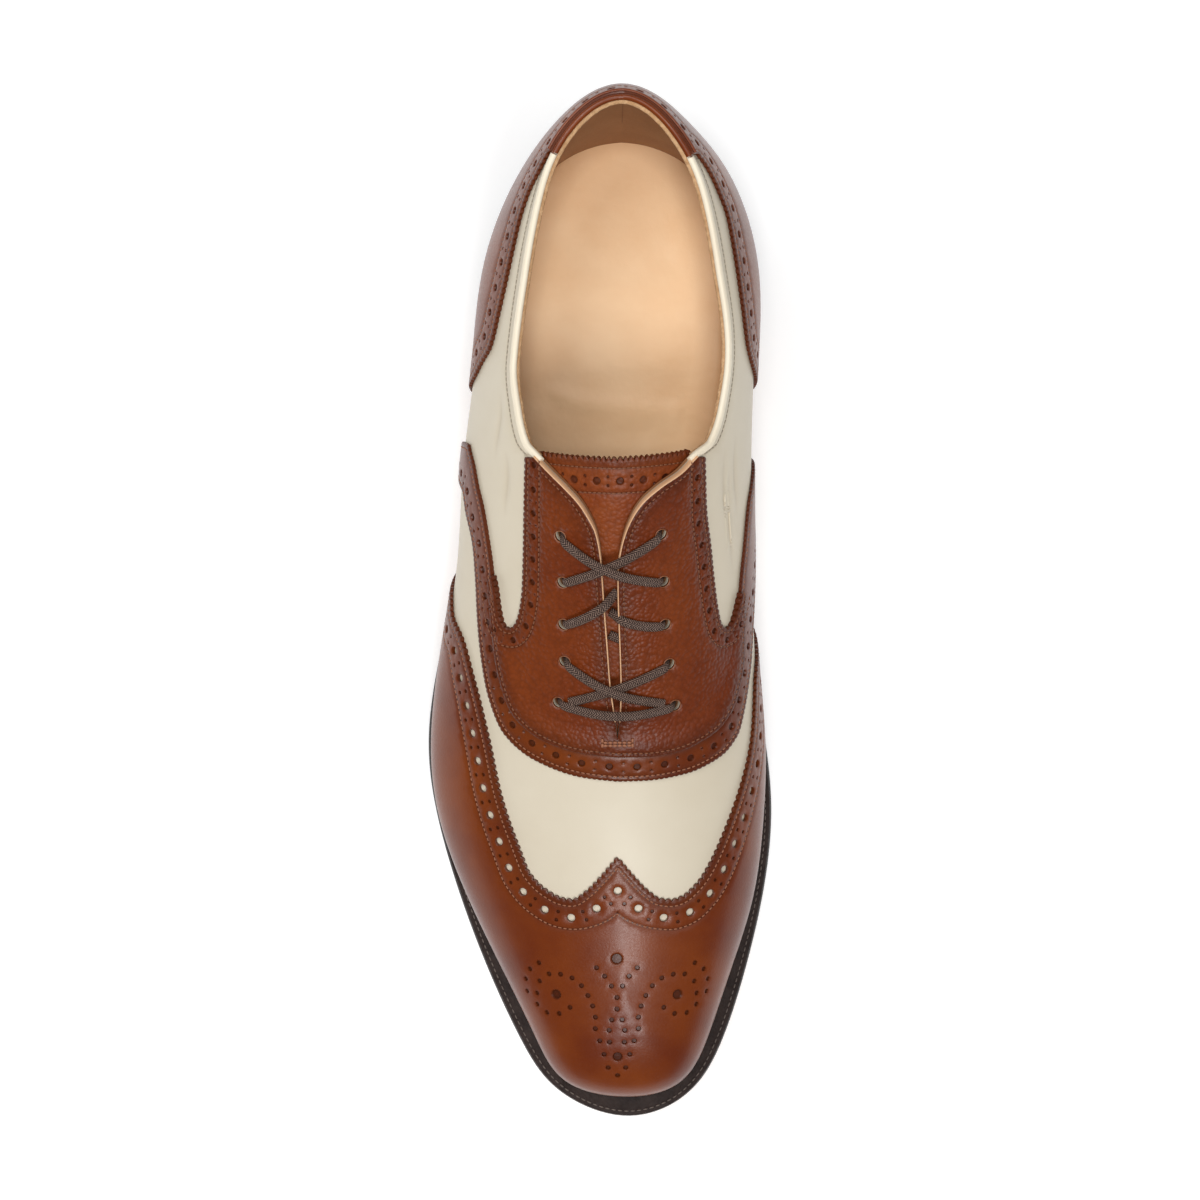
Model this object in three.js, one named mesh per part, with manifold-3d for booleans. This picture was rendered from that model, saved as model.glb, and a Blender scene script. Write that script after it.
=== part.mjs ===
// A two-tone spectator wingtip Oxford: one right shoe, for a right foot, standing on its sole.
// Millimetres, +Z up, toe towards -Y, inner (medial) side towards +X, z = 0 on the floor.
import * as THREE from 'three';
import { mergeVertices } from 'three/addons/utils/BufferGeometryUtils.js';
import Module from 'manifold-3d';

const wasm = await Module();
wasm.setup();

// Driving sizes of the last and the heel
const LAST_LENGTH = 298.1; // heel point to toe point along the feather edge
const BALL_WIDTH = 93.4; // across the feather edge at the ball
const INSTEP_HEIGHT = 61.8; // ridge above the feather edge at the instep
const HEEL_HEIGHT = 25; // heel block, from the floor to the sole
const TOE_SPRING = 10.2; // lift of the sole under the toe
const HEEL_POINT_Y = 150.5; // heel end of the feather edge, from the origin of the pattern

// Leather and sole stock
const UPPER_WALL = 2.2; // vamp leather and lining together
const HEEL_STIFFENER = 2.3; // added inside the heel at the seat
const STIFFENER_HEIGHT = 0.5; // share of the wall over which it runs out
const OVERLAY_THICKNESS = 1.0; // wing cap, counter, facings and band
const TONGUE_THICKNESS = 2.0;
const TONGUE_GAP = 0.6; // between the tongue and the lining over it
const INSOLE_THICKNESS = 4.0;
const WELT_THICKNESS = 2.6;
const OUTSOLE_THICKNESS = 4.8;
const WELT_STEP = 0.7; // the welt's edge stands back from the outsole's
const CLEARANCE = 0.3; // air kept between curved pieces

// Heel
const HEEL_LIFTS = 4;
const TOP_PIECE_THICKNESS = 6;
const LIFT_STEP = 0.35; // each lift is this much smaller all round than the one above
const BREAST_ROW = 3.5; // place of the heel's front face, in rows of the last
const BREAST_HOLLOW = 3; // how far that face curves back in its middle

// Lace and eyelets
const EYELET_DIAMETER = 3.6;
const EYELET_SIDES = 8;
const LACE_WIDTH = 3.4;
const LACE_THICKNESS = 1.4;
const LACE_OVERLAP = 0.25; // how deep a crossing lace is pressed into the one below
const DIVE_SHARE = 0.57; // the middle pair's laces stop this share of the way across, over the gap
const DIVE_ROWS = { lateral: 0.27, medial: 0.14 }; // and this far towards the heel, in rows
const LOWER_REACH = 0.93; // the fourth pair's laces stop short of the last pair by the rest
const LACE_STEPS = 8;

// Last in plan, from heel to toe. y, lateral and medial place the feather edge, heel and spring
// lift it, and the margins say how far the sole stands out.
const PLAN = table(
  ['y', 'lateral', 'medial', 'heel', 'spring', 'stiffener', 'marginLateral', 'marginMedial'],
  [
    [0.0000, 0.0696, 0.0696, 1.000, 0.00, 1.00, 1.5, 1.5],
    [0.0252, -0.1210, 0.2602, 1.000, 0.00, 0.95, 1.5, 1.5],
    [0.0822, -0.2463, 0.3833, 1.000, 0.00, 0.80, 1.5, 1.5],
    [0.1694, -0.3051, 0.4315, 1.000, 0.00, 0.45, 1.5, 1.5],
    [0.2633, -0.3373, 0.4176, 0.928, 0.00, 0.10, 2.0, 2.0],
    [0.3573, -0.3587, 0.3854, 0.648, 0.00, 0.00, 3.0, 2.5],
    [0.4512, -0.4122, 0.3961, 0.312, 0.00, 0.00, 4.5, 3.5],
    [0.5451, -0.4690, 0.4422, 0.088, 0.00, 0.00, 5.5, 4.5],
    [0.6323, -0.5139, 0.4861, 0.000, 0.00, 0.00, 5.1, 5.3],
    [0.7128, -0.4979, 0.5107, 0.000, -0.02, 0.00, 4.1, 5.3],
    [0.7933, -0.4293, 0.4797, 0.000, 0.06, 0.00, 3.6, 5.6],
    [0.8671, -0.3394, 0.4283, 0.000, 0.275, 0.00, 3.5, 5.2],
    [0.9342, -0.2238, 0.3490, 0.000, 0.61, 0.00, 4.6, 5.8],
    [0.9799, -0.0942, 0.2420, 0.000, 0.882, 0.00, 6.2, 7.0],
    [1.0000, 0.0771, 0.0771, 0.000, 1.00, 0.00, 6.4, 6.4],
  ],
);

// Last in section, for the same rows. The ridge is the line over the instep and toe, the bulge is
// the widest place of the side and rise its height, full and crown shape the wall above it, and
// fall is the slope of the ridge.
const SECTION = table(
  ['ridgeY', 'ridgeX', 'ridge', 'bulgeLateral', 'bulgeMedial', 'rise',
    'fullLateral', 'crownLateral', 'fullMedial', 'crownMedial', 'fall'],
  [
    [0.1426, 0.0685, 1.3300, 0.0060, 0.0060, 0.356, 0.28, 0.97, 0.28, 0.97, 0.08],
    [0.1510, 0.0685, 1.3200, -0.0120, -0.0120, 0.356, 0.28, 0.97, 0.25, 0.92, 0.08],
    [0.1761, 0.0675, 1.2800, 0.0040, 0.0140, 0.356, 0.28, 0.78, 0.28, 0.69, 0.09],
    [0.2164, 0.0642, 1.2200, 0.0500, 0.0520, 0.356, 0.26, 0.51, 0.26, 0.53, 0.12],
    [0.2768, 0.0557, 1.1780, 0.0550, 0.0650, 0.356, 0.22, 0.48, 0.36, 0.56, 0.18],
    [0.3606, 0.0493, 1.2023, 0.0728, 0.1028, 0.388, 0.38, 0.42, 0.45, 0.50, 0.36],
    [0.4512, 0.0321, 1.1197, 0.0428, 0.1006, 0.372, 0.40, 0.42, 0.50, 0.50, 0.48],
    [0.5451, 0.0418, 1.0000, 0.0343, 0.0664, 0.307, 0.42, 0.42, 0.55, 0.50, 0.44],
    [0.6323, 0.0535, 0.8495, 0.0171, 0.0385, 0.243, 0.45, 0.45, 0.60, 0.50, 0.39],
    [0.7095, 0.0535, 0.7152, 0.0107, 0.0150, 0.194, 0.50, 0.50, 0.60, 0.52, 0.33],
    [0.7766, 0.0557, 0.6230, 0.0086, 0.0107, 0.162, 0.55, 0.52, 0.60, 0.55, 0.29],
    [0.8303, 0.0621, 0.5350, 0.0086, 0.0086, 0.146, 0.58, 0.55, 0.60, 0.55, 0.25],
    [0.8672, 0.0685, 0.4540, 0.0086, 0.0086, 0.129, 0.60, 0.55, 0.60, 0.55, 0.22],
    [0.8890, 0.0739, 0.3990, 0.0086, 0.0086, 0.121, 0.60, 0.55, 0.60, 0.55, 0.20],
    [0.8957, 0.0749, 0.3740, 0.0086, 0.0086, 0.121, 0.60, 0.55, 0.60, 0.55, 0.20],
  ],
);

// Pattern lines on the last. A row is a place from heel to toe in rows of the last, and a height
// is a share of the way up the wall, 0 at the feather edge and 1 on the ridge.
const THROAT_ROW = 7.92; // the point where the two facings meet
const TOPLINE = table(['row', 'lateral', 'medial'], [
  [0, 0.631, 0.631], [1, 0.635, 0.648], [2, 0.627, 0.627], [3, 0.601, 0.601], [4, 0.582, 0.551],
  [4.5, 0.618, 0.576], [4.84, 0.659, 0.625], [4.98, 0.705, 0.697], [5.14, 0.762, 0.757],
  [5.29, 0.818, 0.837], [5.45, 0.873, 0.900], [5.6, 0.911, 0.933], [5.75, 0.940, 0.953],
  [5.93, 0.957, 0.967], [6.13, 0.966, 0.975], [6.85, 0.977, 0.977], [7.28, 0.981, 0.980],
  [7.66, 0.992, 0.988], [THROAT_ROW, 1, 1],
]);

// Top edge of the counter: the back strap up to the collar, then the long curve down to the sole.
const STRAP_ROW = 1.5;
const STRAP_TOP = 0.72; // the strap is cut this high, past the collar, so that it ends at it
const COUNTER_EDGE = table(['row', 'lateral', 'medial'], [
  [1.56, 0.613, 0.600], [1.83, 0.596, 0.566], [2.17, 0.560, 0.538], [2.47, 0.541, 0.517],
  [2.8, 0.530, 0.513], [3.15, 0.514, 0.500], [3.5, 0.488, 0.473], [3.83, 0.453, 0.430],
  [4.1, 0.385, 0.372], [4.34, 0.325, 0.275], [4.5, 0.234, 0.166], [4.62, 0.060, 0.050],
]);

// Outer edge of a facing beside the light quarter, from the topline to the bottom of its U. Below
// the U the facing runs to the band, from the apron height up to the ridge.
const FACING_EDGE = table(['rowLateral', 'lateral', 'rowMedial', 'medial'], [
  [4.98, 0.674, 4.98, 0.666], [5.27, 0.677, 5.17, 0.660], [5.55, 0.681, 5.52, 0.650],
  [6.015, 0.689, 5.88, 0.629], [6.32, 0.692, 6.25, 0.613], [6.52, 0.687, 6.51, 0.599],
  [6.72, 0.666, 6.72, 0.566],
]);
const APRON = { row: 6.68, lateral: 0.585, medial: 0.455 };

// Band below the facings, as rows against height: inner edge towards the heel, outer to the toe.
const BAND_INNER = table(['height', 'lateral', 'medial'], [
  [0, 4.80, 4.86], [0.2, 4.79, 4.98], [0.351, 4.83, 5.38], [0.374, 4.90, 5.51],
  [0.413, 5.04, 5.88], [0.453, 5.28, 6.30], [0.484, 5.46, 7.05], [0.530, 5.85, 7.38],
  [0.558, 6.13, 7.534], [0.597, 6.69, 7.67], [0.640, 7.22, 7.79], [0.702, 7.66, 7.902],
  [0.802, 7.924, 8.03], [0.9, 8.04, 8.078], [1, 8.084, 8.084],
]);
const BAND_OUTER = table(['height', 'lateral', 'medial'], [
  [0, 5.12, 5.25], [0.2, 5.16, 5.75], [0.334, 5.298, 6.63], [0.377, 5.516, 7.0],
  [0.438, 5.817, 7.39], [0.475, 6.168, 7.62], [0.522, 6.738, 7.89], [0.552, 7.067, 7.99],
  [0.591, 7.451, 8.10], [0.657, 7.885, 8.22], [0.760, 8.191, 8.35], [0.901, 8.394, 8.43],
  [1, 8.443, 8.443],
]);

// Back edge of the wing cap, as rows against height, with its two lobes and centre peak.
const WING_EDGE = table(['height', 'lateral', 'medial'], [
  [0, 6.00, 6.20], [0.15, 6.12, 6.45], [0.268, 6.326, 6.75], [0.334, 6.54, 6.928],
  [0.435, 6.816, 8.0], [0.533, 7.377, 8.80], [0.601, 8.012, 9.265], [0.644, 8.685, 9.545],
  [0.684, 9.346, 9.77], [0.70, 9.67, 9.84], [0.76, 9.97, 10.04], [0.81, 10.09, 10.105],
  [0.845, 10.119, 10.105], [0.9, 10.0, 9.99], [0.95, 9.80, 9.79], [1, 9.537, 9.537],
]);

// Tongue: half of its outline, hidden under the facings and the vamp.
const TONGUE_TOP_ROW = 4.97;
const TONGUE_EDGE = table(['row', 'height'], [
  [TONGUE_TOP_ROW, 0.680], [5.6, 0.700], [6.4, 0.740], [7.4, 0.780], [8.5, 0.840],
]);

// Eyelets, from the top pair down.
const EYELETS = table(['rowLateral', 'lateral', 'rowMedial', 'medial'], [
  [5.779, 0.817, 5.759, 0.828], [6.243, 0.832, 6.233, 0.819], [6.668, 0.837, 6.668, 0.817],
  [7.052, 0.841, 7.081, 0.808], [7.502, 0.823, 7.537, 0.795],
]);

// How finely the shoe is faceted, in rows of the last.
const COLUMNS = [0, 0.4, 0.8, 1.2, STRAP_ROW, 1.85, 2.25, 2.7, 3.1, BREAST_ROW, 3.85, 4.2, 4.55,
  4.84, 4.98, 5.14, 5.29, 5.45, 5.65, 5.93, 6.2, 6.6, 7, 7.45, THROAT_ROW, 8.4, 8.9, 9.5, 10.1,
  10.7, 11.2, 11.7, 12.15, 12.55, 12.9, 13.25, 13.6, 14];
const TOE_ROW = PLAN.length - 1;
const LOOP = 2 * TOE_ROW; // rows all round, down the lateral side and back up the medial one
const BULGE_HEIGHT = 0.22; // where on a wall its widest place is
const WALL_SHARES = [0, 0.13, 0.26, 0.43, 0.58, 0.71, 0.82, 0.92, 1];
const SLOPE_PASSES = 60; // rounds that settle the slopes of a closed curve
const DELTA = 0.001; // step for taking slopes, in rows and in shares of a wall
const CUT_DEPTH = 2; // a cutter reaches this far past both faces of the layer it cuts
const OVERLAY_FOOT = 0.014; // overlays start this share of the wall above the feather edge
const FOLD_GAP = 0.03; // the facings stop this much of a row short of the band

/** Turns rows of numbers into rows of named values. */
function table(columns, rows) {
  return rows.map((row) => Object.fromEntries(columns.map((name, i) => [name, row[i]])));
}

/** One column of a table. */
function column(rows, name) {
  return rows.map((row) => row[name]);
}

/** Cubic between two values with given slopes. */
function hermite(a, slopeA, b, slopeB, t) {
  const squared = t * t;
  const cubed = squared * t;
  return (2 * cubed - 3 * squared + 1) * a + (cubed - 2 * squared + t) * slopeA
    + (3 * squared - 2 * cubed) * b + (cubed - squared) * slopeB;
}

/** A smooth closed curve through the lateral values and back through the medial ones. */
function loopCurve(lateral, medial) {
  const values = [...lateral, ...medial.slice(1, -1).reverse()];
  const count = values.length;
  const at = (list, i) => list[(i + count) % count];
  let slopes = values.map(() => 0);
  for (let pass = 0; pass < SLOPE_PASSES; pass += 1) {
    slopes = values.map((_, i) => (
      3 * (at(values, i + 1) - at(values, i - 1)) - at(slopes, i + 1) - at(slopes, i - 1)) / 4);
  }
  return (c) => {
    const i = Math.floor(c);
    const wrapped = ((i % count) + count) % count;
    return hermite(at(values, wrapped), at(slopes, wrapped),
      at(values, wrapped + 1), at(slopes, wrapped + 1), c - i);
  };
}

/** A smooth open curve y(x) through points, never overshooting them. */
function lineCurve(xs, ys) {
  const last = xs.length - 1;
  const chord = xs.slice(1).map((x, i) => (ys[i + 1] - ys[i]) / (x - xs[i]));
  const slopes = xs.map((_, i) => {
    if (i === 0) return chord[0];
    if (i === last) return chord[last - 1];
    return chord[i - 1] * chord[i] <= 0 ? 0 : 2 * chord[i - 1] * chord[i] / (chord[i - 1] + chord[i]);
  });
  return (x) => {
    const clamped = Math.min(Math.max(x, xs[0]), xs[last]);
    let i = 0;
    while (i < last - 1 && clamped > xs[i + 1]) i += 1;
    const width = xs[i + 1] - xs[i];
    return hermite(ys[i], slopes[i] * width, ys[i + 1], slopes[i + 1] * width,
      (clamped - xs[i]) / width);
  };
}

/** Evenly spaced values from a to b, both ends included. */
function steps(a, b, count) {
  return Array.from({ length: count + 1 }, (_, i) => a + (b - a) * i / count);
}

const planCurve = (lateral, medial) => loopCurve(column(PLAN, lateral), column(PLAN, medial));
const sectionCurve = (lateral, medial) => (
  loopCurve(column(SECTION, lateral), column(SECTION, medial)));
const shape = {
  featherX: planCurve('lateral', 'medial'),
  featherY: planCurve('y', 'y'),
  heel: planCurve('heel', 'heel'),
  spring: planCurve('spring', 'spring'),
  stiffener: planCurve('stiffener', 'stiffener'),
  margin: planCurve('marginLateral', 'marginMedial'),
  ridgeX: sectionCurve('ridgeX', 'ridgeX'),
  ridgeY: sectionCurve('ridgeY', 'ridgeY'),
  ridge: sectionCurve('ridge', 'ridge'),
  bulge: sectionCurve('bulgeLateral', 'bulgeMedial'),
  rise: sectionCurve('rise', 'rise'),
  full: sectionCurve('fullLateral', 'fullMedial'),
  crown: sectionCurve('crownLateral', 'crownMedial'),
  fall: sectionCurve('fall', 'fall'),
};

/** Point of the feather edge, where the upper meets the sole, at place c of the loop. */
function featherPoint(c) {
  return new THREE.Vector3(
    BALL_WIDTH * shape.featherX(c),
    HEEL_POINT_Y - LAST_LENGTH * shape.featherY(c),
    OUTSOLE_THICKNESS + WELT_THICKNESS + 2 * CLEARANCE
      + HEEL_HEIGHT * shape.heel(c) + TOE_SPRING * shape.spring(c),
  );
}

/** Point of the outer surface at place c of the loop and height v of the wall. */
function lastPoint(c, v) {
  const feather = featherPoint(c);
  const ridge = new THREE.Vector3(
    BALL_WIDTH * shape.ridgeX(c),
    HEEL_POINT_Y - LAST_LENGTH * shape.ridgeY(c),
    feather.z + INSTEP_HEIGHT * shape.ridge(c),
  );
  const outward = new THREE.Vector3(feather.x - ridge.x, feather.y - ridge.y, 0);
  const reach = outward.length();
  outward.divideScalar(reach);
  const width = BALL_WIDTH * shape.bulge(c);
  const rise = INSTEP_HEIGHT * shape.rise(c);
  const bulge = feather.clone().addScaledVector(outward, width);
  bulge.z += rise;
  if (v < BULGE_HEIGHT) {
    const knee = bulge.clone().setZ(feather.z + rise / 2);
    return new THREE.QuadraticBezierCurve3(feather, knee, bulge).getPoint(v / BULGE_HEIGHT);
  }
  const wall = bulge.clone();
  wall.z += shape.full(c) * (ridge.z - bulge.z);
  const crownReach = shape.crown(c) * (reach + width);
  const crown = ridge.clone().addScaledVector(outward, crownReach);
  crown.z += crownReach * outward.y * shape.fall(c);
  return new THREE.CubicBezierCurve3(bulge, wall, crown, ridge)
    .getPoint((v - BULGE_HEIGHT) / (1 - BULGE_HEIGHT));
}

/** Outward direction of the outer surface, level at the feather edge. */
function lastNormal(c, v) {
  const along = lastPoint(c + DELTA, v).sub(lastPoint(c - DELTA, v));
  const up = lastPoint(c, Math.min(v + DELTA, 1)).sub(lastPoint(c, Math.max(v - DELTA, 0)));
  const normal = along.cross(up).normalize();
  if (v < BULGE_HEIGHT) {
    const level = normal.clone().setZ(0).normalize();
    normal.lerpVectors(level, normal, v / BULGE_HEIGHT).normalize();
  }
  return normal;
}

/** Point at a given lift over the outer surface. Both sides give one point on the ridge. */
function skinPoint(c, v, lift) {
  if (v < 1) {
    return lastPoint(c, v).addScaledVector(lastNormal(c, v), lift);
  }
  const lateral = Math.min(c, LOOP - c);
  const normal = lastNormal(lateral, 1).add(lastNormal(LOOP - lateral, 1)).normalize();
  return lastPoint(lateral, 1).addScaledVector(normal, lift);
}

/** Wall thickness of the upper, with the stiffener running out from the heel seat upwards. */
function wallThickness(c, v) {
  const fade = Math.max(0, 1 - v / STIFFENER_HEIGHT);
  return UPPER_WALL + HEEL_STIFFENER * shape.stiffener(c) * fade;
}

/** A closed body from its points and the triangles between them. */
function bodyFromTriangles(points, triangles) {
  const geometry = new THREE.BufferGeometry();
  const flat = points.flatMap((p) => [p.x, p.y, p.z]);
  geometry.setAttribute('position', new THREE.Float32BufferAttribute(flat, 3));
  geometry.setIndex(triangles.flat());
  return geometry;
}

/** Key under which the points of a sheet are welded: the ridge belongs to both sides. */
function weldKey({ c, v }) {
  const wrapped = ((c % LOOP) + LOOP) % LOOP;
  const place = v >= 1 ? Math.min(wrapped, LOOP - wrapped) : wrapped;
  return `${place.toFixed(5)} ${Math.min(v, 1).toFixed(5)}`;
}

/**
 * A leather panel: a sheet of the outer surface given its thickness between two lifts.
 * patches are grids of places { c, v }, with c growing from row to row and v along a row.
 */
function panel(patches, liftInside, liftOutside) {
  const places = [];
  const indexOf = new Map();
  const indexFor = (place) => {
    const key = weldKey(place);
    if (!indexOf.has(key)) {
      indexOf.set(key, places.length);
      places.push(place);
    }
    return indexOf.get(key);
  };
  const sheet = [];
  const addTriangle = (a, b, c) => {
    if (a !== b && b !== c && c !== a) sheet.push([a, b, c]);
  };
  for (const patch of patches) {
    const grid = patch.map((row) => row.map(indexFor));
    for (let i = 0; i + 1 < grid.length; i += 1) {
      for (let j = 0; j + 1 < grid[i].length; j += 1) {
        addTriangle(grid[i][j], grid[i + 1][j], grid[i + 1][j + 1]);
        addTriangle(grid[i][j], grid[i + 1][j + 1], grid[i][j + 1]);
      }
    }
  }
  const edges = new Set(sheet.flatMap(([a, b, c]) => [`${a} ${b}`, `${b} ${c}`, `${c} ${a}`]));
  const count = places.length;
  const triangles = sheet.flatMap(([a, b, c]) => [[a, b, c], [c + count, b + count, a + count]]);
  for (const edge of edges) {
    const [a, b] = edge.split(' ').map(Number);
    if (!edges.has(`${b} ${a}`)) {
      triangles.push([b, a, a + count], [b, a + count, b + count]);
    }
  }
  const outside = places.map(({ c, v }) => skinPoint(c, v, liftOutside(c, v)));
  const inside = places.map(({ c, v }) => skinPoint(c, v, liftInside(c, v)));
  return bodyFromTriangles([...outside, ...inside], triangles);
}

/** Loop place of a row of the last on the lateral or the medial side. */
function loopPlace(side, row) {
  return side === 'lateral' ? row : LOOP - row;
}

/** Both sides of a panel from one function that gives the places of one side, heel to toe. */
function bothSides(gridOf) {
  return ['lateral', 'medial'].map((side) => {
    const grid = gridOf(side);
    return side === 'lateral' ? grid : grid.reverse();
  });
}

const constant = (lift) => () => lift;

const sides = ['lateral', 'medial'];
const curvesBySide = (rows, x) => Object.fromEntries(
  sides.map((side) => [side, lineCurve(column(rows, x), column(rows, side))]));
const topline = curvesBySide(TOPLINE, 'row');
const counterEdge = curvesBySide(COUNTER_EDGE, 'row');
const bandInner = curvesBySide(BAND_INNER, 'height');
const bandOuter = curvesBySide(BAND_OUTER, 'height');
const wingEdge = curvesBySide(WING_EDGE, 'height');

/** Upper edge of the upper at a row of the last. */
function toplineHeight(side, row) {
  return row >= THROAT_ROW ? 1 : topline[side](row);
}

/** The whole skin of the upper as a grid, from the feather edge to the collar and the throat. */
function skinGrid() {
  return bothSides((side) => COLUMNS.map((row) => (
    WALL_SHARES.map((share) => (
      { c: loopPlace(side, row), v: share * toplineHeight(side, row) })))));
}

/** The hollow upper: one wall from the feather edge to the collar and the throat. */
function makeUpper() {
  const inside = (c, v) => -wallThickness(c, v);
  return panel(skinGrid(), inside, constant(0));
}

/** A second skin over the upper, one overlay thick, that every overlay is cut from. */
const layer = toSolid(panel(
  skinGrid(), constant(CLEARANCE), constant(CLEARANCE + OVERLAY_THICKNESS)));

/** A block that follows the pattern lines of a panel right through that skin. */
function patternBlock(patches) {
  return toSolid(panel(
    patches, constant(CLEARANCE - CUT_DEPTH),
    constant(CLEARANCE + OVERLAY_THICKNESS + CUT_DEPTH)));
}

/** Pattern block between two edges that give a row for each height. */
function rowsBetween(heights, from, to, shares) {
  return patternBlock(bothSides((side) => shares.map((share) => heights(side).map((v) => {
    const start = from(side, v);
    return { c: loopPlace(side, start + (to(side, v) - start) * share), v };
  }))));
}

/** The wing cap, from its lobed back edge round the toe. */
function makeWingCap() {
  const heights = [OVERLAY_FOOT, 0.09, 0.18, 0.268, 0.334, 0.435, 0.533, 0.601, 0.644, 0.684, 0.72,
    0.76, 0.81, 0.845, 0.9, 0.95, 1];
  const block = rowsBetween(
    () => heights, (side, v) => wingEdge[side](v), () => TOE_ROW,
    [0, 0.1, 0.2, 0.3, 0.4, 0.5, 0.6, 0.7, 0.78, 0.84, 0.89, 0.93, 0.97, 1]);
  return fromSolid(layer.intersect(block));
}

const BAND_HEIGHTS = [OVERLAY_FOOT, 0.2, 0.3, 0.351, 0.4, 0.44, 0.48, 0.53, 0.58, 0.64, 0.71, 0.8,
  0.9, 1];

/** Block of the band, widened towards the heel by a gap in rows. */
function bandBlock(gap) {
  return rowsBetween(
    () => BAND_HEIGHTS, (side, v) => bandInner[side](v) - gap, (side, v) => bandOuter[side](v),
    [0, 0.5, 1]);
}

/** The punched band that runs round below the facings. */
function makeBand() {
  return fromSolid(layer.intersect(bandBlock(0)));
}

/** The counter with its back strap, from the sole up to its curved top edge. */
function makeCounter() {
  const rows = [0, 0.35, 0.7, 1, 1.25, STRAP_ROW, 1.56, 1.83, 2.17, 2.5, 2.8, 3.15, 3.5, 3.83,
    4.1, 4.34, 4.5, 4.62];
  const block = patternBlock(bothSides((side) => rows.map((row) => {
    const top = row <= STRAP_ROW ? STRAP_TOP : counterEdge[side](row);
    return steps(OVERLAY_FOOT, top, 5).map((v) => ({ c: loopPlace(side, row), v }));
  })));
  return fromSolid(layer.intersect(block));
}

/** The two facings, joined below the throat, with their eyelet holes. */
function makeFacing() {
  const beside = patternBlock(bothSides((side) => {
    const rowName = side === 'lateral' ? 'rowLateral' : 'rowMedial';
    return FACING_EDGE.map((edge) => (
      steps(edge[side], 1, 4).map((v) => ({ c: loopPlace(side, edge[rowName]), v }))));
  }));
  const apron = rowsBetween(
    (side) => steps(APRON[side], 1, 9), () => APRON.row,
    (side, v) => (bandInner[side](v) + bandOuter[side](v)) / 2, [0, 0.5, 1]);
  const body = layer.intersect(beside.add(apron)).subtract(bandBlock(FOLD_GAP));
  return cutEyelets(body);
}

/** The tongue, inside the facings and under the end of the vamp. */
function makeTongue() {
  const edge = lineCurve(column(TONGUE_EDGE, 'row'), column(TONGUE_EDGE, 'height'));
  const end = TONGUE_EDGE[TONGUE_EDGE.length - 1].row;
  const between = COLUMNS.filter((row) => row > TONGUE_TOP_ROW && row < end).slice(1);
  const rows = [TONGUE_TOP_ROW, ...between, end];
  const outside = -UPPER_WALL - TONGUE_GAP;
  return panel(bothSides((side) => rows.map((row) => (
    steps(edge(row), 1, 5).map((v) => ({ c: loopPlace(side, row), v })))),
  ), constant(outside - TONGUE_THICKNESS), constant(outside));
}

/** Solid for joining and cutting, from a closed geometry. */
function toSolid(geometry) {
  const plain = geometry.clone();
  plain.deleteAttribute('normal');
  plain.deleteAttribute('uv');
  const merged = mergeVertices(plain, 0.0001);
  return new wasm.Manifold(new wasm.Mesh({
    numProp: 3,
    vertProperties: new Float32Array(merged.attributes.position.array),
    triVerts: new Uint32Array(merged.index.array),
  }));
}

/** Geometry from a solid. */
function fromSolid(solid) {
  const mesh = solid.getMesh();
  const geometry = new THREE.BufferGeometry();
  geometry.setAttribute('position', new THREE.Float32BufferAttribute(mesh.vertProperties, 3));
  geometry.setIndex([...mesh.triVerts]);
  return geometry;
}

/** Places of all eyelets, as sides of pairs from the top down. */
function eyelet(side, pair) {
  const row = EYELETS[pair];
  return { side, row: side === 'lateral' ? row.rowLateral : row.rowMedial, v: row[side] };
}

/** Cuts the eyelet holes through a solid. */
function cutEyelets(body) {
  const length = 2 * (UPPER_WALL + OVERLAY_THICKNESS + CLEARANCE + CUT_DEPTH);
  let solid = body;
  for (const side of sides) {
    EYELETS.forEach((_, pair) => {
      const hole = eyelet(side, pair);
      const place = loopPlace(side, hole.row);
      const cutter = new THREE.CylinderGeometry(
        EYELET_DIAMETER / 2, EYELET_DIAMETER / 2, length, EYELET_SIDES);
      const turn = new THREE.Quaternion().setFromUnitVectors(
        new THREE.Vector3(0, 1, 0), lastNormal(place, hole.v));
      cutter.applyQuaternion(turn);
      const centre = lastPoint(place, hole.v);
      cutter.translate(centre.x, centre.y, centre.z);
      solid = solid.subtract(toSolid(cutter));
    });
  }
  return fromSolid(solid);
}

/** Point level with the feather edge and moved straight outwards in plan. */
function outlinePoint(c, outwardBy, z) {
  const along = featherPoint(c + DELTA).sub(featherPoint(c - DELTA));
  const outward = new THREE.Vector3(along.y, -along.x, 0).normalize();
  return featherPoint(c).addScaledVector(outward, outwardBy).setZ(z);
}

const welt = {
  top: (c) => featherPoint(c).z - CLEARANCE,
  bottom: (c) => featherPoint(c).z - CLEARANCE - WELT_THICKNESS,
};
const outsole = {
  top: (c) => welt.bottom(c) - CLEARANCE,
  bottom: (c) => Math.max(0, welt.bottom(c) - CLEARANCE - OUTSOLE_THICKNESS),
};
const LOOP_PLACES = [...COLUMNS, ...COLUMNS.slice(1, -1).reverse().map((row) => LOOP - row)];

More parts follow.
